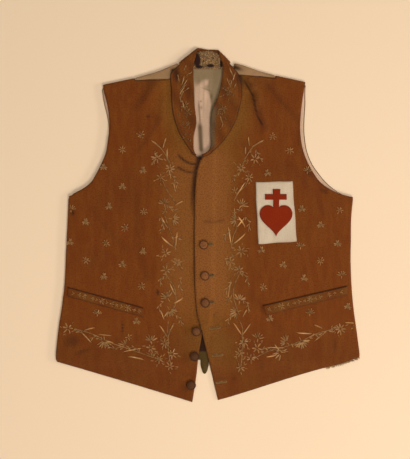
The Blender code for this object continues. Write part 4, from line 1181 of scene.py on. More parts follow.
def stitched(name, stitches, place, wall, finish):
    """One mesh of all the stitches: x, y, angle, length, width, bend, height and tone of each.

    The thread pulls the cloth in, so each stitch has a narrow rim of dented cloth round it, painted darker
    as shade.
    """
    rows = np.array(stitches, float)
    u, v, h = np.array([*ALMOND, *ALMOND[:ALMOND_RIM]]).T
    pull = np.where(np.arange(len(u)) < len(ALMOND), 0.0, 1.0)
    x, y, angle, length, width, bend, height, tone = (rows[:, k : k + 1] for k in range(8))
    along = u * length + pull * (u - 0.5) * 2 * PULL_WIDTH
    across = v * (width / 2 + pull * PULL_WIDTH) + bend * 4 * u * (1 - u)
    px = x + along * np.cos(angle) - across * np.sin(angle)
    py = y + along * np.sin(angle) + across * np.cos(angle)
    rise = h * height + np.where(pull > 0, -0.1, PULL_HEIGHT) + wall / 2
    points = place(np.column_stack([px.ravel(), py.ravel()]), rise.ravel())
    top, skirt, under = almond_faces()
    shape = (*top, *skirt, under[::-1])
    faces = [tuple(i + k * len(u) for i in f) for k in range(len(rows)) for f in shape]
    thread = np.column_stack([along.ravel(), (v * width / 2).ravel()])
    mesh = mapped_mesh(name, points, faces, "thread", thread)
    point_values(mesh, "tone", np.repeat(tone.ravel(), len(u)))
    point_values(mesh, "pulled", np.tile(pull, len(rows)))
    return put(name, mesh, finish)


def polar(x, y, reach, angle):
    return x + reach * math.cos(angle), y + reach * math.sin(angle)


def petal(made, rng, start, angle, length, width, tone):
    """One petal with its own bend, height and shine."""
    bend = rng.uniform(-0.5, 0.5)
    tall = sizes().petal_height / MM * rng.uniform(0.8, 1.2)
    made.append((*start, angle, length, width, bend, tall, rng.uniform(0, tone)))


def star(made, rng, x, y, radius, petals):
    """An open flower: narrow petals round a small gap, each with its own length and shine."""
    turn = rng.uniform(0, 1)
    gap = radius * 0.15
    for k in range(petals):
        angle = turn + 2 * math.pi * k / petals + rng.uniform(-0.18, 0.18)
        length = radius * rng.uniform(0.72, 1.12)
        width = min(2.4, radius * rng.uniform(0.16, 0.24))
        petal(made, rng, polar(x, y, gap, angle), angle, length - gap, width, 1.0)


def fan(made, rng, x, y, radius, turn, petals, spread, fat):
    """Petals or leaves that open to one side from a short stalk."""
    for k in range(petals):
        angle = turn + spread * (k / max(petals - 1, 1) - 0.5) + rng.uniform(-0.08, 0.08)
        length = radius * rng.uniform(0.7, 1.05)
        width = min(3.2, radius * fat * rng.uniform(0.75, 1.1))
        petal(made, rng, polar(x, y, radius * 0.22, angle), angle, length, width, 1.4)
    made.append((x, y, turn + math.pi, radius * 0.6, 1.3, 0.2, sizes().petal_height / MM * 0.7, 0.4))


def tuft(made, rng, x, y):
    """Three blossoms of paired petals, with a single thread between each two."""
    for angle in (90, 205, 330):
        reach = math.radians(angle + rng.uniform(-15, 15))
        for aside in (-0.34, 0.34):
            tone = rng.uniform(0.0, 0.8)
            made.append((*polar(x, y, 1.4, reach), reach + aside, 5.4, 2.3, aside, 0.9, tone))
    for turn in (30, 150, 265):
        reach = math.radians(turn + rng.uniform(-15, 15))
        made.append((x, y, reach, 4.6, 1.1, 0.0, 0.5, rng.uniform(0.3, 1.4)))


def hairs(made, rng, x, y, radius):
    """Fine single threads round a flower, most of them in the dull colours."""
    for _ in range(5):
        angle = rng.uniform(0, 2 * math.pi)
        at = polar(x, y, radius * rng.uniform(0.7, 1.0), angle)
        turn = angle + rng.uniform(-0.9, 0.9)
        made.append((*at, turn, rng.uniform(3.0, 6.5), 0.9, 0.3, 0.4, rng.uniform(0.7, 1.5)))


def leaf(made, rng, x0, y0, x1, y1, width):
    """A slender bent leaf from its foot to its tip: two rows of stitches that meet along the vein."""
    tall = sizes().petal_height / MM
    length = math.hypot(x1 - x0, y1 - y0)
    angle = math.atan2(y1 - y0, x1 - x0)
    bend = length * rng.uniform(-0.09, 0.09)
    tone = rng.uniform(0.0, 0.5)
    for half in (-1, 1):
        aside = half * width * 0.16
        at = (x0 - aside * math.sin(angle), y0 + aside * math.cos(angle))
        made.append((*at, angle, length, width * 0.62, bend, tall, tone + 0.2 * half))


def stem(made, rng, points, width=1.2):
    """Stem stitch along a line: short stitches that overlap like the strands of a cord."""
    tall = sizes().petal_height / MM * 0.6
    line = spline(points, 3.6)
    for a, b in zip(line, line[1:]):
        angle = math.atan2(b[1] - a[1], b[0] - a[0]) + 0.12
        length = float(np.linalg.norm(b - a)) * 1.5
        made.append((*a, angle, length, width, 0.0, tall, rng.uniform(0.9, 1.5)))


def spray(made, rng, points):
    """A stem with small leaves that leave it by turns on one side and the other."""
    stem(made, rng, points, 1.0)
    line = spline(points, 6.0)
    for k, (a, b) in enumerate(zip(line, line[1:])):
        run = math.atan2(b[1] - a[1], b[0] - a[0])
        angle = run + (0.62 if k % 2 else -0.62) + rng.uniform(-0.15, 0.15)
        length = 6.5 * rng.uniform(0.75, 1.15)
        made.append((*a, angle, length, 1.7, rng.uniform(-0.5, 0.5), 0.6, rng.uniform(0.1, 1.0)))


# Scattered flowers: x, y and kind. Open stars take turns with tufts of three blossoms.
SPRIGS = {
    RIGHT: (
        (-118, 158, "star"), (-151, 132, "star"), (-183, 101, "tuft"), (-114, 96, "tuft"),
        (-150, 67, "tuft"), (-174, 33, "tuft"), (-113, 23, "star"), (-240, 30, "fan"), (-214, 5, "tuft"),
        (-145, -5, "star"), (-242, -30, "tuft"), (-178, -32, "star"), (-114, -46, "tuft"),
        (-214, -62, "star"), (-150, -69, "tuft"), (-183, -90, "tuft"), (-116, -107, "star"),
        (-194, -153, "fan"), (-125, -169, "tuft"),
    ),
    LEFT: (
        (113, 155, "star"), (143, 130, "star"), (174, 97, "fan"), (104, 91, "tuft"), (164, 28, "tuft"),
        (231, 26, "star"), (197, 0, "tuft"), (227, -33, "tuft"), (162, -35, "fan"), (93, -44, "tuft"),
        (132, -70, "tuft"), (197, -63, "star"), (234, -86, "fan"), (169, -93, "tuft"), (97, -109, "star"),
        (245, -143, "tuft"), (178, -152, "fan"), (108, -164, "tuft"),
    ),
}

# The border of each front. Flowers: x, y, radius, petals. Fans: x, y, radius, direction, petals.
# Leaves: foot x, y and tip x, y. Stems: x, y of each point on the way.
BORDER_FLOWERS = {
    RIGHT: (
        (-89, 117, 10.5, 6), (-67, 98, 10, 8), (-83, 83, 8, 6), (-74, -49, 10, 7), (-54, -66, 9, 7),
        (-73, -79, 9.5, 6), (-76, -207, 9.5, 8), (-100, -216, 10, 6), (-63, -226, 10.5, 7),
        (-86, -235, 8.5, 7), (-67, -248, 9, 6), (-245, -181, 11, 6),
    ),
    LEFT: (
        (82, 116, 10.5, 6), (58, 100, 9.5, 7), (72, 83, 9, 7), (58, -46, 10.5, 7), (39, -65, 9.5, 6),
        (55, -79, 10, 7), (63, -205, 9.5, 7), (86, -216, 10.5, 6), (55, -224, 8.5, 7), (75, -234, 9.5, 6),
        (57, -250, 9, 6), (232, -182, 11, 8),
    ),
}
BORDER_FANS = {
    RIGHT: (
        (-77, 41, 11, 100, 5), (-77, 25, 6.5, 150, 3), (-58, 10, 11.5, -10, 6), (-73, -124, 12, 120, 6),
        (-65, -153, 12.5, -60, 7), (-100, -199, 10.5, 95, 5), (-148, -209, 11.5, 150, 5),
        (-180, -207, 13, -80, 7), (-138, -196, 7, 10, 3),
    ),
    LEFT: (
        (60, 38, 11.5, 60, 5), (46, 61, 7, 120, 3), (46, 10, 11.5, 175, 6), (56, -128, 12, 80, 6),
        (36, -130, 8.5, 140, 4), (47, -154, 12, 200, 6), (88, -195, 10.5, 80, 5), (122, -225, 15, 190, 4),
        (134, -203, 11.5, 140, 6), (166, -207, 13, -60, 7),
    ),
}
BORDER_LEAVES = {
    RIGHT: (
        (-83, 134, -100, 148), (-79, 134, -73, 154), (-71, 113, -71, 134), (-56, 75, -64, 72),
        (-56, 57, -60, 74), (-58, 34, -44, 42), (-70, -6, -82, 15), (-58, -39, -82, -19),
        (-57, -39, -54, -11), (-56, -124, -67, -101), (-60, -137, -44, -127), (-77, -166, -84, -149),
        (-71, -198, -86, -175), (-70, -198, -59, -172), (-115, -216, -150, -223), (-111, -237, -141, -231),
        (-169, -194, -193, -192), (-204, -207, -222, -188), (-217, -185, -198, -180),
    ),
    LEFT: (
        (73, 138, 71, 155), (77, 136, 99, 149), (66, 124, 66, 137), (66, 75, 48, 47), (52, 15, 65, -5),
        (50, -4, 64, 14), (40, -34, 35, -2), (42, -34, 66, -13), (40, -96, 34, -130), (61, -161, 68, -148),
        (59, -193, 44, -171), (60, -193, 75, -172), (135, -216, 102, -215), (102, -231, 121, -227),
        (183, -190, 154, -188), (208, -185, 186, -204), (200, -181, 186, -175), (240, -171, 256, -172),
        (256, -175, 251, -183),
    ),
}
BORDER_STEMS = {
    RIGHT: (
        ((-97, 146), (-83, 134), (-72, 118), (-66, 104)), ((-80, 78), (-75, 66), (-66, 52), (-58, 40)),
        ((-77, 20), (-72, 4), (-66, -12), (-58, -38), (-57, -46)),
        ((-76, -84), (-66, -98), (-58, -114), (-57, -138), (-64, -150)),
        ((-70, -168), (-71, -184), (-70, -200), (-70, -218), (-66, -244)),
        ((-84, -236), (-112, -226), (-140, -216), (-170, -206), (-204, -190), (-232, -182)),
    ),
    LEFT: (
        ((97, 148), (80, 138), (68, 122), (60, 106)), ((70, 80), (66, 70), (54, 58), (46, 44)),
        ((46, 30), (46, 12), (50, -4), (44, -20), (41, -34), (42, -44)),
        ((56, -84), (48, -100), (44, -118), (48, -140), (54, -156)),
        ((54, -166), (60, -180), (60, -194), (60, -214), (58, -244)),
        ((78, -236), (104, -222), (134, -214), (166, -202), (192, -190), (222, -182)),
    ),
}


# Sprays with small leaves: x, y of each point on the way
BORDER_SPRAYS = {
    RIGHT: (
        ((-88, 128), (-92, 118), (-98, 108)), ((-66, 90), (-58, 80), (-52, 66)),
        ((-72, 36), (-64, 28), (-52, 24)), ((-84, 12), (-78, -2), (-84, -14)),
        ((-64, -20), (-52, -24), (-44, -20)), ((-60, -58), (-50, -66), (-46, -80)),
        ((-72, -86), (-82, -94), (-84, -106)), ((-46, -92), (-50, -104), (-46, -118)),
        ((-78, -134), (-86, -142), (-84, -154)), ((-56, -158), (-48, -166), (-46, -176)),
        ((-88, -222), (-98, -228), (-106, -224)), ((-120, -222), (-130, -214), (-142, -216)),
        ((-152, -212), (-164, -216), (-176, -212)), ((-186, -202), (-196, -196), (-206, -198)),
        ((-220, -190), (-230, -184), (-238, -186)),
    ),
    LEFT: (
        ((84, 132), (88, 122), (94, 112)), ((60, 96), (50, 88), (42, 76)), ((62, 34), (56, 26), (44, 22)),
        ((66, 14), (72, 2), (70, -10)), ((40, -10), (32, -16), (28, -26)),
        ((46, -54), (36, -58), (30, -70)), ((60, -84), (68, -94), (70, -106)),
        ((42, -100), (34, -110), (30, -120)), ((62, -132), (70, -140), (70, -152)),
        ((44, -158), (36, -164), (34, -176)), ((92, -222), (100, -216), (110, -218)),
        ((116, -226), (126, -220), (138, -222)), ((146, -208), (156, -212), (168, -206)),
        ((178, -198), (188, -192), (198, -194)), ((212, -186), (220, -180), (226, -176)),
    ),
}


def welt_line(side, share):
    """A point on the middle line of a welt, from the side inwards."""
    corner = np.array(WELTS[side], float)
    outer = (corner[0] + corner[3]) / 2
    inner = (corner[1] + corner[2]) / 2
    return outer + (inner - outer) * share


def make_front_needlework(side):
    rng = np.random.default_rng(11 if side == RIGHT else 23)
    made = []
    for x, y, kind in SPRIGS[side]:
        if kind == "star":
            star(made, rng, x, y, 7.4, 7)
        elif kind == "tuft":
            tuft(made, rng, x, y)
        else:
            fan(made, rng, x, y - 3, 8.0, 1.5, 6, 2.6, 0.2)
    for x, y, radius, petals in BORDER_FLOWERS[side]:
        star(made, rng, x, y, radius, petals)
        hairs(made, rng, x, y, radius * 1.25)
    for x, y, radius, turn, petals in BORDER_FANS[side]:
        turn = math.radians(turn)
        fan(made, rng, *polar(x, y, -0.4 * radius, turn), radius, turn, petals + 1, 2.3, 0.17)
    for ends in BORDER_LEAVES[side]:
        leaf(made, rng, *ends, 1.9)
    for points in BORDER_STEMS[side]:
        stem(made, rng, points)
    for points in BORDER_SPRAYS[side]:
        spray(made, rng, points)
    finish = thread_material("Embroidery silk")
    stitched(WORD[side] + "_front_needlework", made, place_front(side), PANEL_WALL, finish)


# Needlework of the collar. Leaves: foot x, y and tip x, y. Flowers: x, y, radius.
COLLAR_LEAVES = {
    RIGHT: (
        (-50, 250, -53, 264), (-47, 244, -42, 262), (-50, 234, -36, 256), (-50, 226, -38, 246),
        (-49, 222, -43, 236), (-41, 234, -33, 240), (-38, 262, -28, 268), (-42, 270, -38, 280),
        (-47, 214, -50, 226), (-42, 204, -46, 218),
    ),
    LEFT: (
        (46, 258, 38, 276), (43, 252, 47, 268), (39, 244, 33, 258), (38, 240, 42, 254), (31, 236, 25, 240),
        (28, 228, 21, 224), (26, 176, 20, 192), (22, 168, 27, 178), (44, 236, 50, 248),
    ),
}
COLLAR_FLOWERS = {
    RIGHT: ((-40, 209, 8), (-35, 197, 7), (-36, 177, 5)),
    LEFT: ((36, 234, 7), (26, 203, 7.5), (19, 198, 4.5)),
}


# Short stitches of the collar's fine ground: x, y and direction in degrees
COLLAR_KNOTS = {
    RIGHT: (
        (-44, 206, 60), (-46, 198, 100), (-38, 188, 70), (-42, 184, 120), (-36, 174, 50), (-40, 170, 100),
        (-33, 168, 80), (-38, 158, 120), (-32, 156, 60), (-34, 148, 110), (-44, 176, 95), (-50, 192, 90),
        (-41, 152, 130), (-46, 214, 80), (-30, 146, 95), (-37, 200, 30),
    ),
    LEFT: (
        (30, 240, 120), (34, 226, 60), (22, 210, 140), (30, 198, 100), (24, 192, 70), (16, 192, 60),
        (36, 216, 100), (14, 176, 100), (12, 160, 110), (38, 250, 80), (44, 226, 70), (32, 184, 120),
    ),
}


def make_collar_needlework(side):
    rng = np.random.default_rng(37 if side == RIGHT else 41)
    made = []
    for ends in COLLAR_LEAVES[side]:
        leaf(made, rng, *ends, 1.7)
    for x, y, radius in COLLAR_FLOWERS[side]:
        star(made, rng, x, y, radius, 6)
    for x, y, turn in COLLAR_KNOTS[side]:
        reach = math.radians(turn)
        made.append((x, y, reach, 4.4, 1.3, 0.3, 0.6, rng.uniform(0.1, 1.2)))
        made.append((x, y, reach + 1.1, 3.6, 1.1, -0.3, 0.5, rng.uniform(0.6, 1.6)))
    finish = thread_material("Collar embroidery silk", 0.70)
    place = place_collar(side)
    stitched(WORD[side] + "_collar_needlework", made, place, COLLAR_WALL, finish)


# Flowers along a welt: share of its length from the side, radius and petals (three or fewer make a bud)
WELT_FLOWERS = (
    (0.075, 3, 2), (0.15, 3.4, 3), (0.22, 4.4, 6), (0.32, 3.4, 3), (0.385, 3, 2), (0.45, 6, 7),
    (0.52, 3.2, 2), (0.575, 4.4, 3), (0.64, 3.6, 5), (0.715, 3.2, 2), (0.795, 6.4, 7), (0.87, 3.2, 3),
    (0.945, 4, 6),
)


def make_welt_needlework(side):
    """Open stars with small buds and leaves between them, along the middle of the welt."""
    rng = np.random.default_rng(53 if side == RIGHT else 59)
    made = []
    lean = math.atan2(*(WELTS[side][0][k] - WELTS[side][1][k] for k in (1, 0)))
    for share, radius, petals in WELT_FLOWERS:
        x, y = welt_line(side, share)
        if petals > 3:
            star(made, rng, x, y, radius, petals)
        else:
            fan(made, rng, x, y, radius, lean + math.pi * (petals % 2), petals, 1.8, 0.34)
    place = on_front(side, WELT_ON_FRONT)
    finish = thread_material("Embroidery silk")
    stitched(WORD[side] + "_welt_needlework", made, place, WELT_WALL, finish)


def make_buttonhole_stitches():
    """Thread over both edges of each hole and bars at its ends. A fastened button hides most of its hole."""
    rng = np.random.default_rng(67)
    made = []
    along = np.array([math.cos(HOLE_RISE), math.sin(HOLE_RISE)])
    for index, (centre, length, width) in enumerate(buttonhole_places()):
        shank = BUTTONS[index][:2] if index < FASTENED else (1e3, 1e3)
        for k in np.linspace(-0.5, 0.5, 22):
            for half in (-1, 1):
                x, y = np.array(centre) + along * k * length + np.array([0.0, half * 0.3])
                if math.dist((x, y), shank) > SHANK_ROOM:
                    reach = width / 2 + 1.0 + rng.uniform(-0.15, 0.25)
                    tone = rng.uniform(0.0, 0.5) if half < 0 else rng.uniform(1.1, 1.8)
                    made.append((x, y, half * math.pi / 2, reach, 1.05, 0.0, 0.5, tone))
        for end in (-1, 1):
            x, y = np.array(centre) + end * along * (length / 2 + 0.6)
            if math.dist((x, y), shank) > SHANK_ROOM:
                made += [(x + k, y - 1.6, math.pi / 2, 3.2, 0.9, 0.0, 0.6, 0.5) for k in (-0.5, 0.5)]
    finish = hole_thread_material()
    stitched("buttonhole_stitches", made, place_front(LEFT), PANEL_WALL, finish)


def make_frayed_hem():
    """Loose pale threads where the hem of the left front is worn through."""
    rng = np.random.default_rng(71)
    made = []
    hem = spline(HEM[LEFT], 1.3)
    for x, y in hem[hem[:, 0] > FRAYED_FROM]:
        for _ in range(2):
            turn = math.radians(rng.uniform(-125, 15))
            at = (x, y + rng.uniform(-0.6, 1.0))
            length = rng.uniform(2.2, 4.6)
            made.append((*at, turn, length, 0.7, rng.uniform(-0.8, 0.8), 0.3, rng.uniform(0, 1.4)))
    stitched("frayed_threads", made, place_front(LEFT), 0.0, hole_thread_material())


# Covered buttons: radius and height of the turned form, from the sewn foot to the middle of the top
BUTTON_PROFILE = (
    (0, 0), (1.3, 0), (6.4, 0), (7.9, 0.5), (8.3, 1.5), (8.2, 2.5), (7.5, 3.2), (6.9, 3.3), (6.3, 2.8),
    (5.9, 2.9), (4.9, 3.6), (3, 4.1), (0, 4.3),
)


def model_button():
    """One covered button at the origin: a line of points is spun round the middle and closed."""
    bpy.ops.object.select_all(action="DESELECT")
    bpy.ops.mesh.primitive_plane_add(size=MM, location=(0, 0, 0))
    obj = bpy.context.object
    bpy.ops.object.mode_set(mode="EDIT")
    bpy.ops.mesh.delete(type="VERT")
    bpy.ops.object.mode_set(mode="OBJECT")
    scale = sizes().button_diameter / (2 * BUTTON_RADIUS)
    line = [(r * scale, 0.0, z * MM) for r, z in BUTTON_PROFILE]
    obj.data.from_pydata(line, [(k, k + 1) for k in range(len(line) - 1)], [])
    bpy.ops.object.mode_set(mode="EDIT")
    bpy.ops.mesh.select_all(action="SELECT")
    bpy.ops.mesh.spin(steps=32, angle=2 * math.pi, center=(0, 0, 0), axis=(0, 0, 1))
    bpy.ops.mesh.select_all(action="SELECT")
    bpy.ops.mesh.remove_doubles(threshold=0.05 * MM)
    bpy.ops.mesh.normals_make_consistent(inside=False)
    bpy.ops.object.mode_set(mode="OBJECT")
    return obj


def make_buttons():
    master = model_button()
    base = np.array([v.co[:] for v in master.data.vertices]) / MM
    polygons = [tuple(p.vertices) for p in master.data.polygons]
    bpy.data.objects.remove(master, do_unlink=True)
    radius = np.hypot(base[:, 0], base[:, 1])
    angle = np.arctan2(base[:, 1], base[:, 0])
    low = (radius < 2.0) & (base[:, 2] < 0.5)
    for index, (x, y, worn) in enumerate(BUTTONS):
        at = np.array([[x, y]])
        sewn = front_height(RIGHT, at)[0] + PANEL_WALL / 2
        seat = front_height(LEFT, at)[0] + PANEL_WALL / 2 + GAP if index < FASTENED else sewn + 0.9
        dent = 0.18 * np.sin(angle * 3 + index * 1.7) * (radius > 5)
        dent += 0.25 * np.cos(angle + index) * (radius < 5)
        points = base.copy()
        points[:, 2] += np.where(low, sewn - seat, dent * (points[:, 2] > 2.0))
        points += np.array([x, y, seat])
        mesh = bpy.data.meshes.new(f"covered_button_{index + 1}")
        mesh.from_pydata((points * MM).tolist(), [], polygons)
        # Painted shade in the groove round the top
        point_values(mesh, "ring", bell(radius - 7.2, 1.3) * (base[:, 2] > 1.0))
        point_values(mesh, "worn", np.full(len(points), worn))
        finish = material("Button cloth", button_cloth)
        obj = put(f"covered_button_{index + 1}", mesh, finish, (f"button_{index + 1}",))
        smooth = obj.modifiers.new("Round", "SUBSURF")
        smooth.levels = smooth.render_levels = 1


# Materials


class Nodes:
    """A short way to add nodes to a tree and join their sockets."""

    def __init__(self, tree):
        self.tree = tree
        self.shader = tree.nodes.get("Principled BSDF")

    def fill(self, node, inputs):
        """Joins each input to the socket given, or sets it to the value given."""
        for key, value in inputs.items():
            if isinstance(value, bpy.types.NodeSocket):
                self.tree.links.new(value, node.inputs[key])
            else:
                node.inputs[key].default_value = value
        return node

    def add(self, kind, inputs, **settings):
        node = self.tree.nodes.new(kind)
        for key, value in settings.items():
            setattr(node, key, value)
        return self.fill(node, inputs).outputs

    def math(self, operation, a, b=0.0):
        return self.add("ShaderNodeMath", {0: a, 1: b}, operation=operation)[0]

    def mix(self, share, a, b):
        return self.add("ShaderNodeMix", {0: share, 6: a, 7: b}, data_type="RGBA", clamp_factor=True)[2]

    def layer(self, mask, share, base, key, gain=1.0):
        """Lays one of the waistcoat's colours over the base, by the mask's share."""
        return self.mix(self.math("MULTIPLY", mask, share), base, tint(key, gain))

    def ramp(self, value, low, high, out_low=0.0, out_high=1.0):
        inputs = {"Value": value, "From Min": low, "From Max": high, "To Min": out_low, "To Max": out_high}
        return self.add("ShaderNodeMapRange", inputs, interpolation_type="SMOOTHSTEP")[0]

    def attribute(self, name):
        return self.add("ShaderNodeAttribute", {}, attribute_name=name)["Fac"]

    def noise(self, place, scale, detail, roughness=0.5):
        inputs = {"Vector": place, "Scale": scale, "Detail": detail, "Roughness": roughness}
        return self.add("ShaderNodeTexNoise", inputs)[0]

    def bump(self, height, strength, distance):
        inputs = {"Strength": strength, "Distance": distance, "Height": height}
        self.fill(self.shader, {"Normal": self.add("ShaderNodeBump", inputs)[0]})

    def weave(self, place, threads):
        return self.add("ShaderNodeGroup", {"Vector": place, "Threads": threads}, node_tree=weave_group())

    def wear(self, place):
        return self.add("ShaderNodeGroup", {"Vector": place}, node_tree=wear_group())


def group(name, inputs, build):
    """A node group, built once and shared by the cloths."""
    tree = bpy.data.node_groups.get(name)
    if tree is None:
        tree = bpy.data.node_groups.new(name, "ShaderNodeTree")
        for socket, kind in inputs.items():
            tree.interface.new_socket(socket, in_out="INPUT", socket_type=kind)
        n = Nodes(tree)
        made = build(n, n.add("NodeGroupInput", {}))
        for socket in made:
            tree.interface.new_socket(socket, in_out="OUTPUT", socket_type="NodeSocketFloat")
        n.add("NodeGroupOutput", made)
    return tree


def weave_group():
    """Threads over and under, as a height for the bump."""

    def build(n, source):
        scaled = {0: source["Vector"], "Scale": source["Threads"]}
        moved = n.add("ShaderNodeVectorMath", scaled, operation="SCALE")[0]
        split = n.add("ShaderNodeSeparateXYZ", {0: moved})
        warp, weft = (n.math("SINE", n.math("MULTIPLY", split[k], 2 * math.pi)) for k in (0, 1))
        cross = n.math("MULTIPLY", n.math("MULTIPLY", warp, weft), 0.5)
        return {"Height": n.math("ADD", cross, n.noise(moved, 0.35, 3.0))}

    return group("Weave", {"Vector": "NodeSocketVector", "Threads": "NodeSocketFloat"}, build)


def wear_group():
    """Uneven fading: broad cloudy patches, streaks across the cloth and fine specks."""

    def build(n, source):
        place = source["Vector"]
        streak = n.add("ShaderNodeMapping", {"Vector": place, "Scale": (1.0, 0.22, 1.0)})[0]
        return {
            "Clouds": n.ramp(n.noise(place, 9.0, 4.0, 0.55), 0.34, 0.66),
            "Streaks": n.ramp(n.noise(streak, 110.0, 3.0), 0.35, 0.68),
            "Specks": n.ramp(n.noise(place, 420.0, 2.0), 0.42, 0.68),
        }

    return group("Wear", {"Vector": "NodeSocketVector"}, build)


def rgba(values, gain=1.0):
    return (*(min(1.0, v * gain) for v in values), 1.0)


def tint(key, gain=1.0):
    return rgba(colour(key), gain)


def material(name, build, *settings):
    """The material of that name, made on its first use. Its build function returns the base colour."""
    made = bpy.data.materials.get(name)
    if made is None:
        made = bpy.data.materials.new(name)
        made.use_nodes = True
        n = Nodes(made.node_tree)
        n.fill(n.shader, {"Base Color": build(n, *settings)})
    return made


def cloth_nodes(n, threads, depth, roughness, sheen):
    """The parts all cloths share: weave and wear on the flat cut, bump and sheen."""
    flat = n.add("ShaderNodeUVMap", {}, uv_map="cut")[0]
    wear = n.wear(flat)
    streaks = n.math("MULTIPLY", wear["Streaks"], 0.8)
    n.bump(n.math("ADD", n.weave(flat, threads)["Height"], streaks), 0.5, depth)
    n.fill(n.shader, {"Roughness": roughness, "Specular IOR Level": 0.12})
    n.fill(n.shader, {"Sheen Weight": sheen, "Sheen Roughness": 0.5})
    return wear


def silk(n):
    wear = cloth_nodes(n, 1 / sizes().weave, 0.0006, 0.72, 0.04)
    clouds = n.math("MULTIPLY", n.math("SUBTRACT", wear["Clouds"], 0.5), 0.35)
    faded = n.math("ADD", n.attribute("faded"), clouds)
    base = n.mix(n.ramp(faded, 0.0, 1.0), tint("silk"), tint("silk_worn"))
    # Painted light beside the front edges
    base = n.mix(n.attribute("rubbed"), base, tint("silk_rubbed"))
    base = n.layer(wear["Streaks"], 0.13, base, "silk_worn", 1.6)
    base = n.layer(wear["Specks"], 0.50, base, "silk", 0.45)
    # Painted shadow: darker rims along the hem and front edges
    edge = n.ramp(n.attribute("edge"), 0.1, 2.2, 0.75, 0.0)
    edge = n.math("MULTIPLY", edge, n.ramp(wear["Clouds"], 0.0, 1.0, 0.35, 1.0))
    edge = n.math("MULTIPLY", edge, n.attribute("outlined"))
    return n.mix(n.math("MAXIMUM", edge, n.attribute("dark")), base, tint("soil_and_shade"))


def silk_material():
    return material("Rust silk", silk)


def collar_silk(n):
    wear = cloth_nodes(n, 1 / sizes().weave, 0.0007, 0.74, 0.04)
    base = n.mix(n.attribute("faded"), tint("collar", 0.85), tint("collar", 1.3))
    base = n.layer(wear["Streaks"], 0.35, base, "silk_worn", 1.3)
    base = n.layer(wear["Specks"], 0.45, base, "collar", 0.35)
    # Painted shade where the left half of the collar rolls inwards, in the lining's green
    base = n.mix(n.attribute("stained"), base, tint("lining_old", 0.55))
    return n.mix(n.attribute("dark"), base, tint("soil_and_shade"))


def cotton(n, main, aged):
    """A plain cloth, also for the lining and the linen patch."""
    wear = cloth_nodes(n, 1250.0, 0.0004, 0.85, 0.05)
    share = n.math("ADD", n.attribute("faded"), n.math("MULTIPLY", wear["Clouds"], 0.35))
    base = n.mix(n.ramp(share, 0.15, 1.25), tint(main), tint(aged))
    base = n.layer(wear["Streaks"], 0.18, base, main, 0.55)
    base = n.layer(wear["Specks"], 0.20, base, main, 0.6)
    return n.mix(n.attribute("dark"), base, tint("soil_and_shade"))


def knotted(n):
    """The worn band in the neck: pale knots on a dark ground."""
    wear = cloth_nodes(n, 500.0, 0.0008, 0.88, 0.1)
    flat = n.add("ShaderNodeUVMap", {}, uv_map="cut")[0]
    knots = n.add("ShaderNodeTexVoronoi", {"Vector": flat, "Scale": 620.0})[0]
    base = n.mix(n.ramp(knots, 0.15, 0.5), tint("thread", 0.85), tint("band", 0.35))
    base = n.layer(wear["Clouds"], 0.5, base, "band", 0.8)
    return n.mix(n.ramp(n.attribute("dark"), 0.15, 0.8), base, tint("band_dark"))


def red_cloth(n):
    wear = cloth_nodes(n, 1100.0, 0.0003, 0.86, 0.03)
    base = n.layer(wear["Clouds"], 0.5, tint("red"), "red", 0.78)
    base = n.layer(wear["Specks"], 0.18, base, "red", 1.5)
    return n.mix(n.ramp(n.attribute("edge"), 0.0, 1.4, 0.35, 0.0), base, tint("red", 0.4))


def thread(n, keys, gain):
    """Floss: a tone for each stitch, fine strands along it with painted shade between them, and painted
    shade on the dented cloth that it pulls in.
    """
    light, green, brown = (tint(key, gain) for key in keys)
    flat = n.add("ShaderNodeUVMap", {}, uv_map="thread")[0]
    across = n.add("ShaderNodeSeparateXYZ", {0: flat})[1]
    strands = n.math("SINE", n.math("MULTIPLY", across, 2 * math.pi / STRAND))
    n.bump(strands, 0.6, 0.0002)
    n.fill(n.shader, {"Roughness": 0.5, "Specular IOR Level": 0.2, "Sheen Weight": 0.03})
    base = n.mix(n.ramp(n.attribute("tone"), 0.6, 1.0), light, green)
    base = n.mix(n.ramp(n.attribute("tone"), 1.0, 1.6), base, brown)
    # Painted shade between the strands
    base = n.mix(n.ramp(strands, -1.0, 0.6, 0.2, 0.0), base, brown)
    # Painted shade on the dented rim round each stitch
    return n.mix(n.ramp(n.attribute("pulled"), 0.25, 0.8), base, tint("silk", 0.4))


def button_cloth(n):
    place = n.add("ShaderNodeTexCoord", {})["Object"]
    n.bump(n.weave(place, 1500.0)["Height"], 0.4, 0.0003)
    n.fill(n.shader, {"Roughness": 0.7, "Specular IOR Level": 0.15})
    base = n.mix(n.wear(place)["Specks"], tint("button", 1.2), tint("button", 0.7))
    base = n.mix(n.attribute("worn"), base, tint("button", 0.3))
    # Painted shade in the groove, from the ring channel
    return n.mix(n.ramp(n.attribute("ring"), 0.35, 0.95, 0.0, 0.9), base, tint("soil_and_shade", 1.6))


def thread_material(name, gain=1.0, keys=("thread", "thread_green", "thread_brown")):
    return material(name, thread, keys, gain)


def hole_thread_material():
    return thread_material("Buttonhole silk", 0.80, ("thread_green", "thread", "thread_brown"))


# The stage


# Lights: name of its power, place, size and colour. Each looks at the middle of the floor.
LIGHTS = (
    ("overhead", (0, 0.2, 2.2), (2, 1.6), (1, 1, 1)),
    ("slanting", (1.2, -1.95, 2.25), (0.9, 0.9), (1, 0.98, 0.96)),
    ("low", (2.6, -0.15, 0.85), (0.5, 0.3), (1, 0.98, 0.96)),
)


def floor_surface(n, shade):
    n.fill(n.shader, {"Roughness": 0.9, "Specular IOR Level": 0.1})
    soft = n.noise(n.add("ShaderNodeTexCoord", {})["Object"], 3.0, 2.0)
    return n.mix(n.math("MULTIPLY", soft, 0.10), rgba(shade), rgba(shade, 0.9))


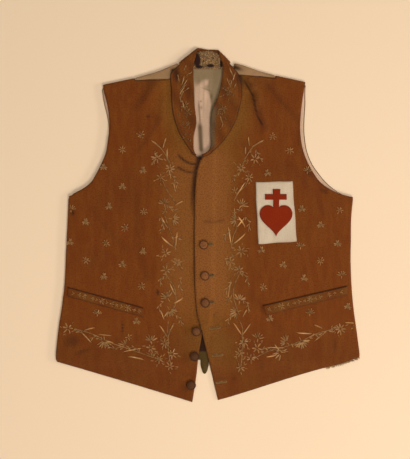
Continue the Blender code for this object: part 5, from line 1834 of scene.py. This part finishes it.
def make_stage():
    scene = bpy.context.scene
    settings = scene.waistcoat_stage
    bpy.ops.object.select_all(action="DESELECT")
    bpy.ops.mesh.primitive_grid_add(x_subdivisions=8, y_subdivisions=8, size=8.0, location=(0, 0, 0))
    floor = bpy.context.object
    floor.name = "floor"
    floor.data.materials.append(material("Pale surface", floor_surface, settings.floor))
    for name, place, size, tone in LIGHTS:
        data = bpy.data.lights.new(name, "AREA")
        data.shape = "RECTANGLE"
        data.size, data.size_y = size
        data.energy = getattr(settings, name)
        data.color = tone
        light = bpy.data.objects.new(name, data)
        light.location = place
        light.rotation_euler = (-Vector(place)).to_track_quat("-Z", "Y").to_euler()
        scene.collection.objects.link(light)
    scene.world = scene.world or bpy.data.worlds.new("Room")
    scene.world.use_nodes = True
    room = scene.world.node_tree.nodes["Background"].inputs
    room["Color"].default_value = (1.0, 1.0, 1.0, 1.0)
    room["Strength"].default_value = settings.room
    scene.view_settings.view_transform = "Standard"
    data = bpy.data.cameras.new("camera")
    data.lens = 70.0
    data.sensor_width = 36.0
    camera = bpy.data.objects.new("camera", data)
    camera.location = (-5.3 * MM, -7.9 * MM, settings.height)
    scene.collection.objects.link(camera)
    scene.camera = camera


# Operators and panel


class Step:
    """Runs the work of an operator, first what is done for each side in turn and then the rest."""

    work_on_sides = ()
    work = ()

    def execute(self, context):
        for side in SIDES:
            for piece in self.work_on_sides:
                piece(side)
        for piece in self.work:
            piece()
        return {"FINISHED"}


class WAISTCOAT_OT_back(Step, bpy.types.Operator):
    """Lay the back, with the wedges that fold forward over the shoulders"""

    bl_idname = "waistcoat.back"
    bl_label = "Back"
    work = (make_back,)


class WAISTCOAT_OT_lining(Step, bpy.types.Operator):
    """Lay the lining and the worn band inside the neck"""

    bl_idname = "waistcoat.lining"
    bl_label = "Lining and neck band"
    work = (make_lining, make_facing)


class WAISTCOAT_OT_fronts(Step, bpy.types.Operator):
    """Lay both fronts, the left one over the right one"""

    bl_idname = "waistcoat.fronts"
    bl_label = "Fronts"
    work_on_sides = (make_front,)


class WAISTCOAT_OT_collar(Step, bpy.types.Operator):
    """Roll both halves of the collar over the neck edge"""

    bl_idname = "waistcoat.collar"
    bl_label = "Collar"
    work_on_sides = (make_collar,)


class WAISTCOAT_OT_welts(Step, bpy.types.Operator):
    """Sew the two pocket welts on the fronts"""

    bl_idname = "waistcoat.welts"
    bl_label = "Pocket welts"
    work_on_sides = (make_welt,)


class WAISTCOAT_OT_badge(Step, bpy.types.Operator):
    """Sew the linen patch and its red heart with a cross on the left breast"""

    bl_idname = "waistcoat.badge"
    bl_label = "Badge"
    work = (make_badge,)


class WAISTCOAT_OT_needlework(Step, bpy.types.Operator):
    """Embroider the fronts, the collar and the welts, and work the buttonholes"""

    bl_idname = "waistcoat.needlework"
    bl_label = "Needlework"
    work_on_sides = (make_front_needlework, make_collar_needlework, make_welt_needlework)
    work = (make_buttonhole_stitches, make_frayed_hem)


class WAISTCOAT_OT_buttons(Step, bpy.types.Operator):
    """Turn the covered buttons and sew them on"""

    bl_idname = "waistcoat.buttons"
    bl_label = "Buttons"
    work = (make_buttons,)


class WAISTCOAT_OT_stage(Step, bpy.types.Operator):
    """Set the plain surface, the soft lights and the camera straight above"""

    bl_idname = "waistcoat.stage"
    bl_label = "Stage"
    work = (make_stage,)


OPERATORS = (
    WAISTCOAT_OT_stage,
    WAISTCOAT_OT_back,
    WAISTCOAT_OT_lining,
    WAISTCOAT_OT_fronts,
    WAISTCOAT_OT_collar,
    WAISTCOAT_OT_welts,
    WAISTCOAT_OT_badge,
    WAISTCOAT_OT_needlework,
    WAISTCOAT_OT_buttons,
)


class WAISTCOAT_PT_panel(bpy.types.Panel):
    """Sizes, colours and pieces of the waistcoat"""

    bl_idname = "WAISTCOAT_PT_panel"
    bl_label = "Waistcoat"
    bl_space_type = "VIEW_3D"
    bl_region_type = "UI"
    bl_category = "Waistcoat"

    def draw(self, context):
        for group_name in ("waistcoat_sizes", "waistcoat_colours", "waistcoat_stage"):
            holder = getattr(context.scene, group_name)
            box = self.layout.box()
            for key in holder.bl_rna.properties.keys():
                if key not in ("rna_type", "name"):
                    box.prop(holder, key)
        for operator in OPERATORS:
            self.layout.operator(operator.bl_idname)


CLASSES = (WaistcoatSizes, WaistcoatColours, WaistcoatStage, *OPERATORS, WAISTCOAT_PT_panel)


def register():
    for cls in CLASSES:
        bpy.utils.register_class(cls)
    bpy.types.Scene.waistcoat_sizes = PointerProperty(type=WaistcoatSizes)
    bpy.types.Scene.waistcoat_colours = PointerProperty(type=WaistcoatColours)
    bpy.types.Scene.waistcoat_stage = PointerProperty(type=WaistcoatStage)


def unregister():
    del bpy.types.Scene.waistcoat_stage
    del bpy.types.Scene.waistcoat_colours
    del bpy.types.Scene.waistcoat_sizes
    for cls in reversed(CLASSES):
        bpy.utils.unregister_class(cls)


def main():
    register()
    for operator in OPERATORS:
        group_name, name = operator.bl_idname.split(".")
        getattr(getattr(bpy.ops, group_name), name)()
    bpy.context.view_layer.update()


if __name__ == "__main__":
    main()
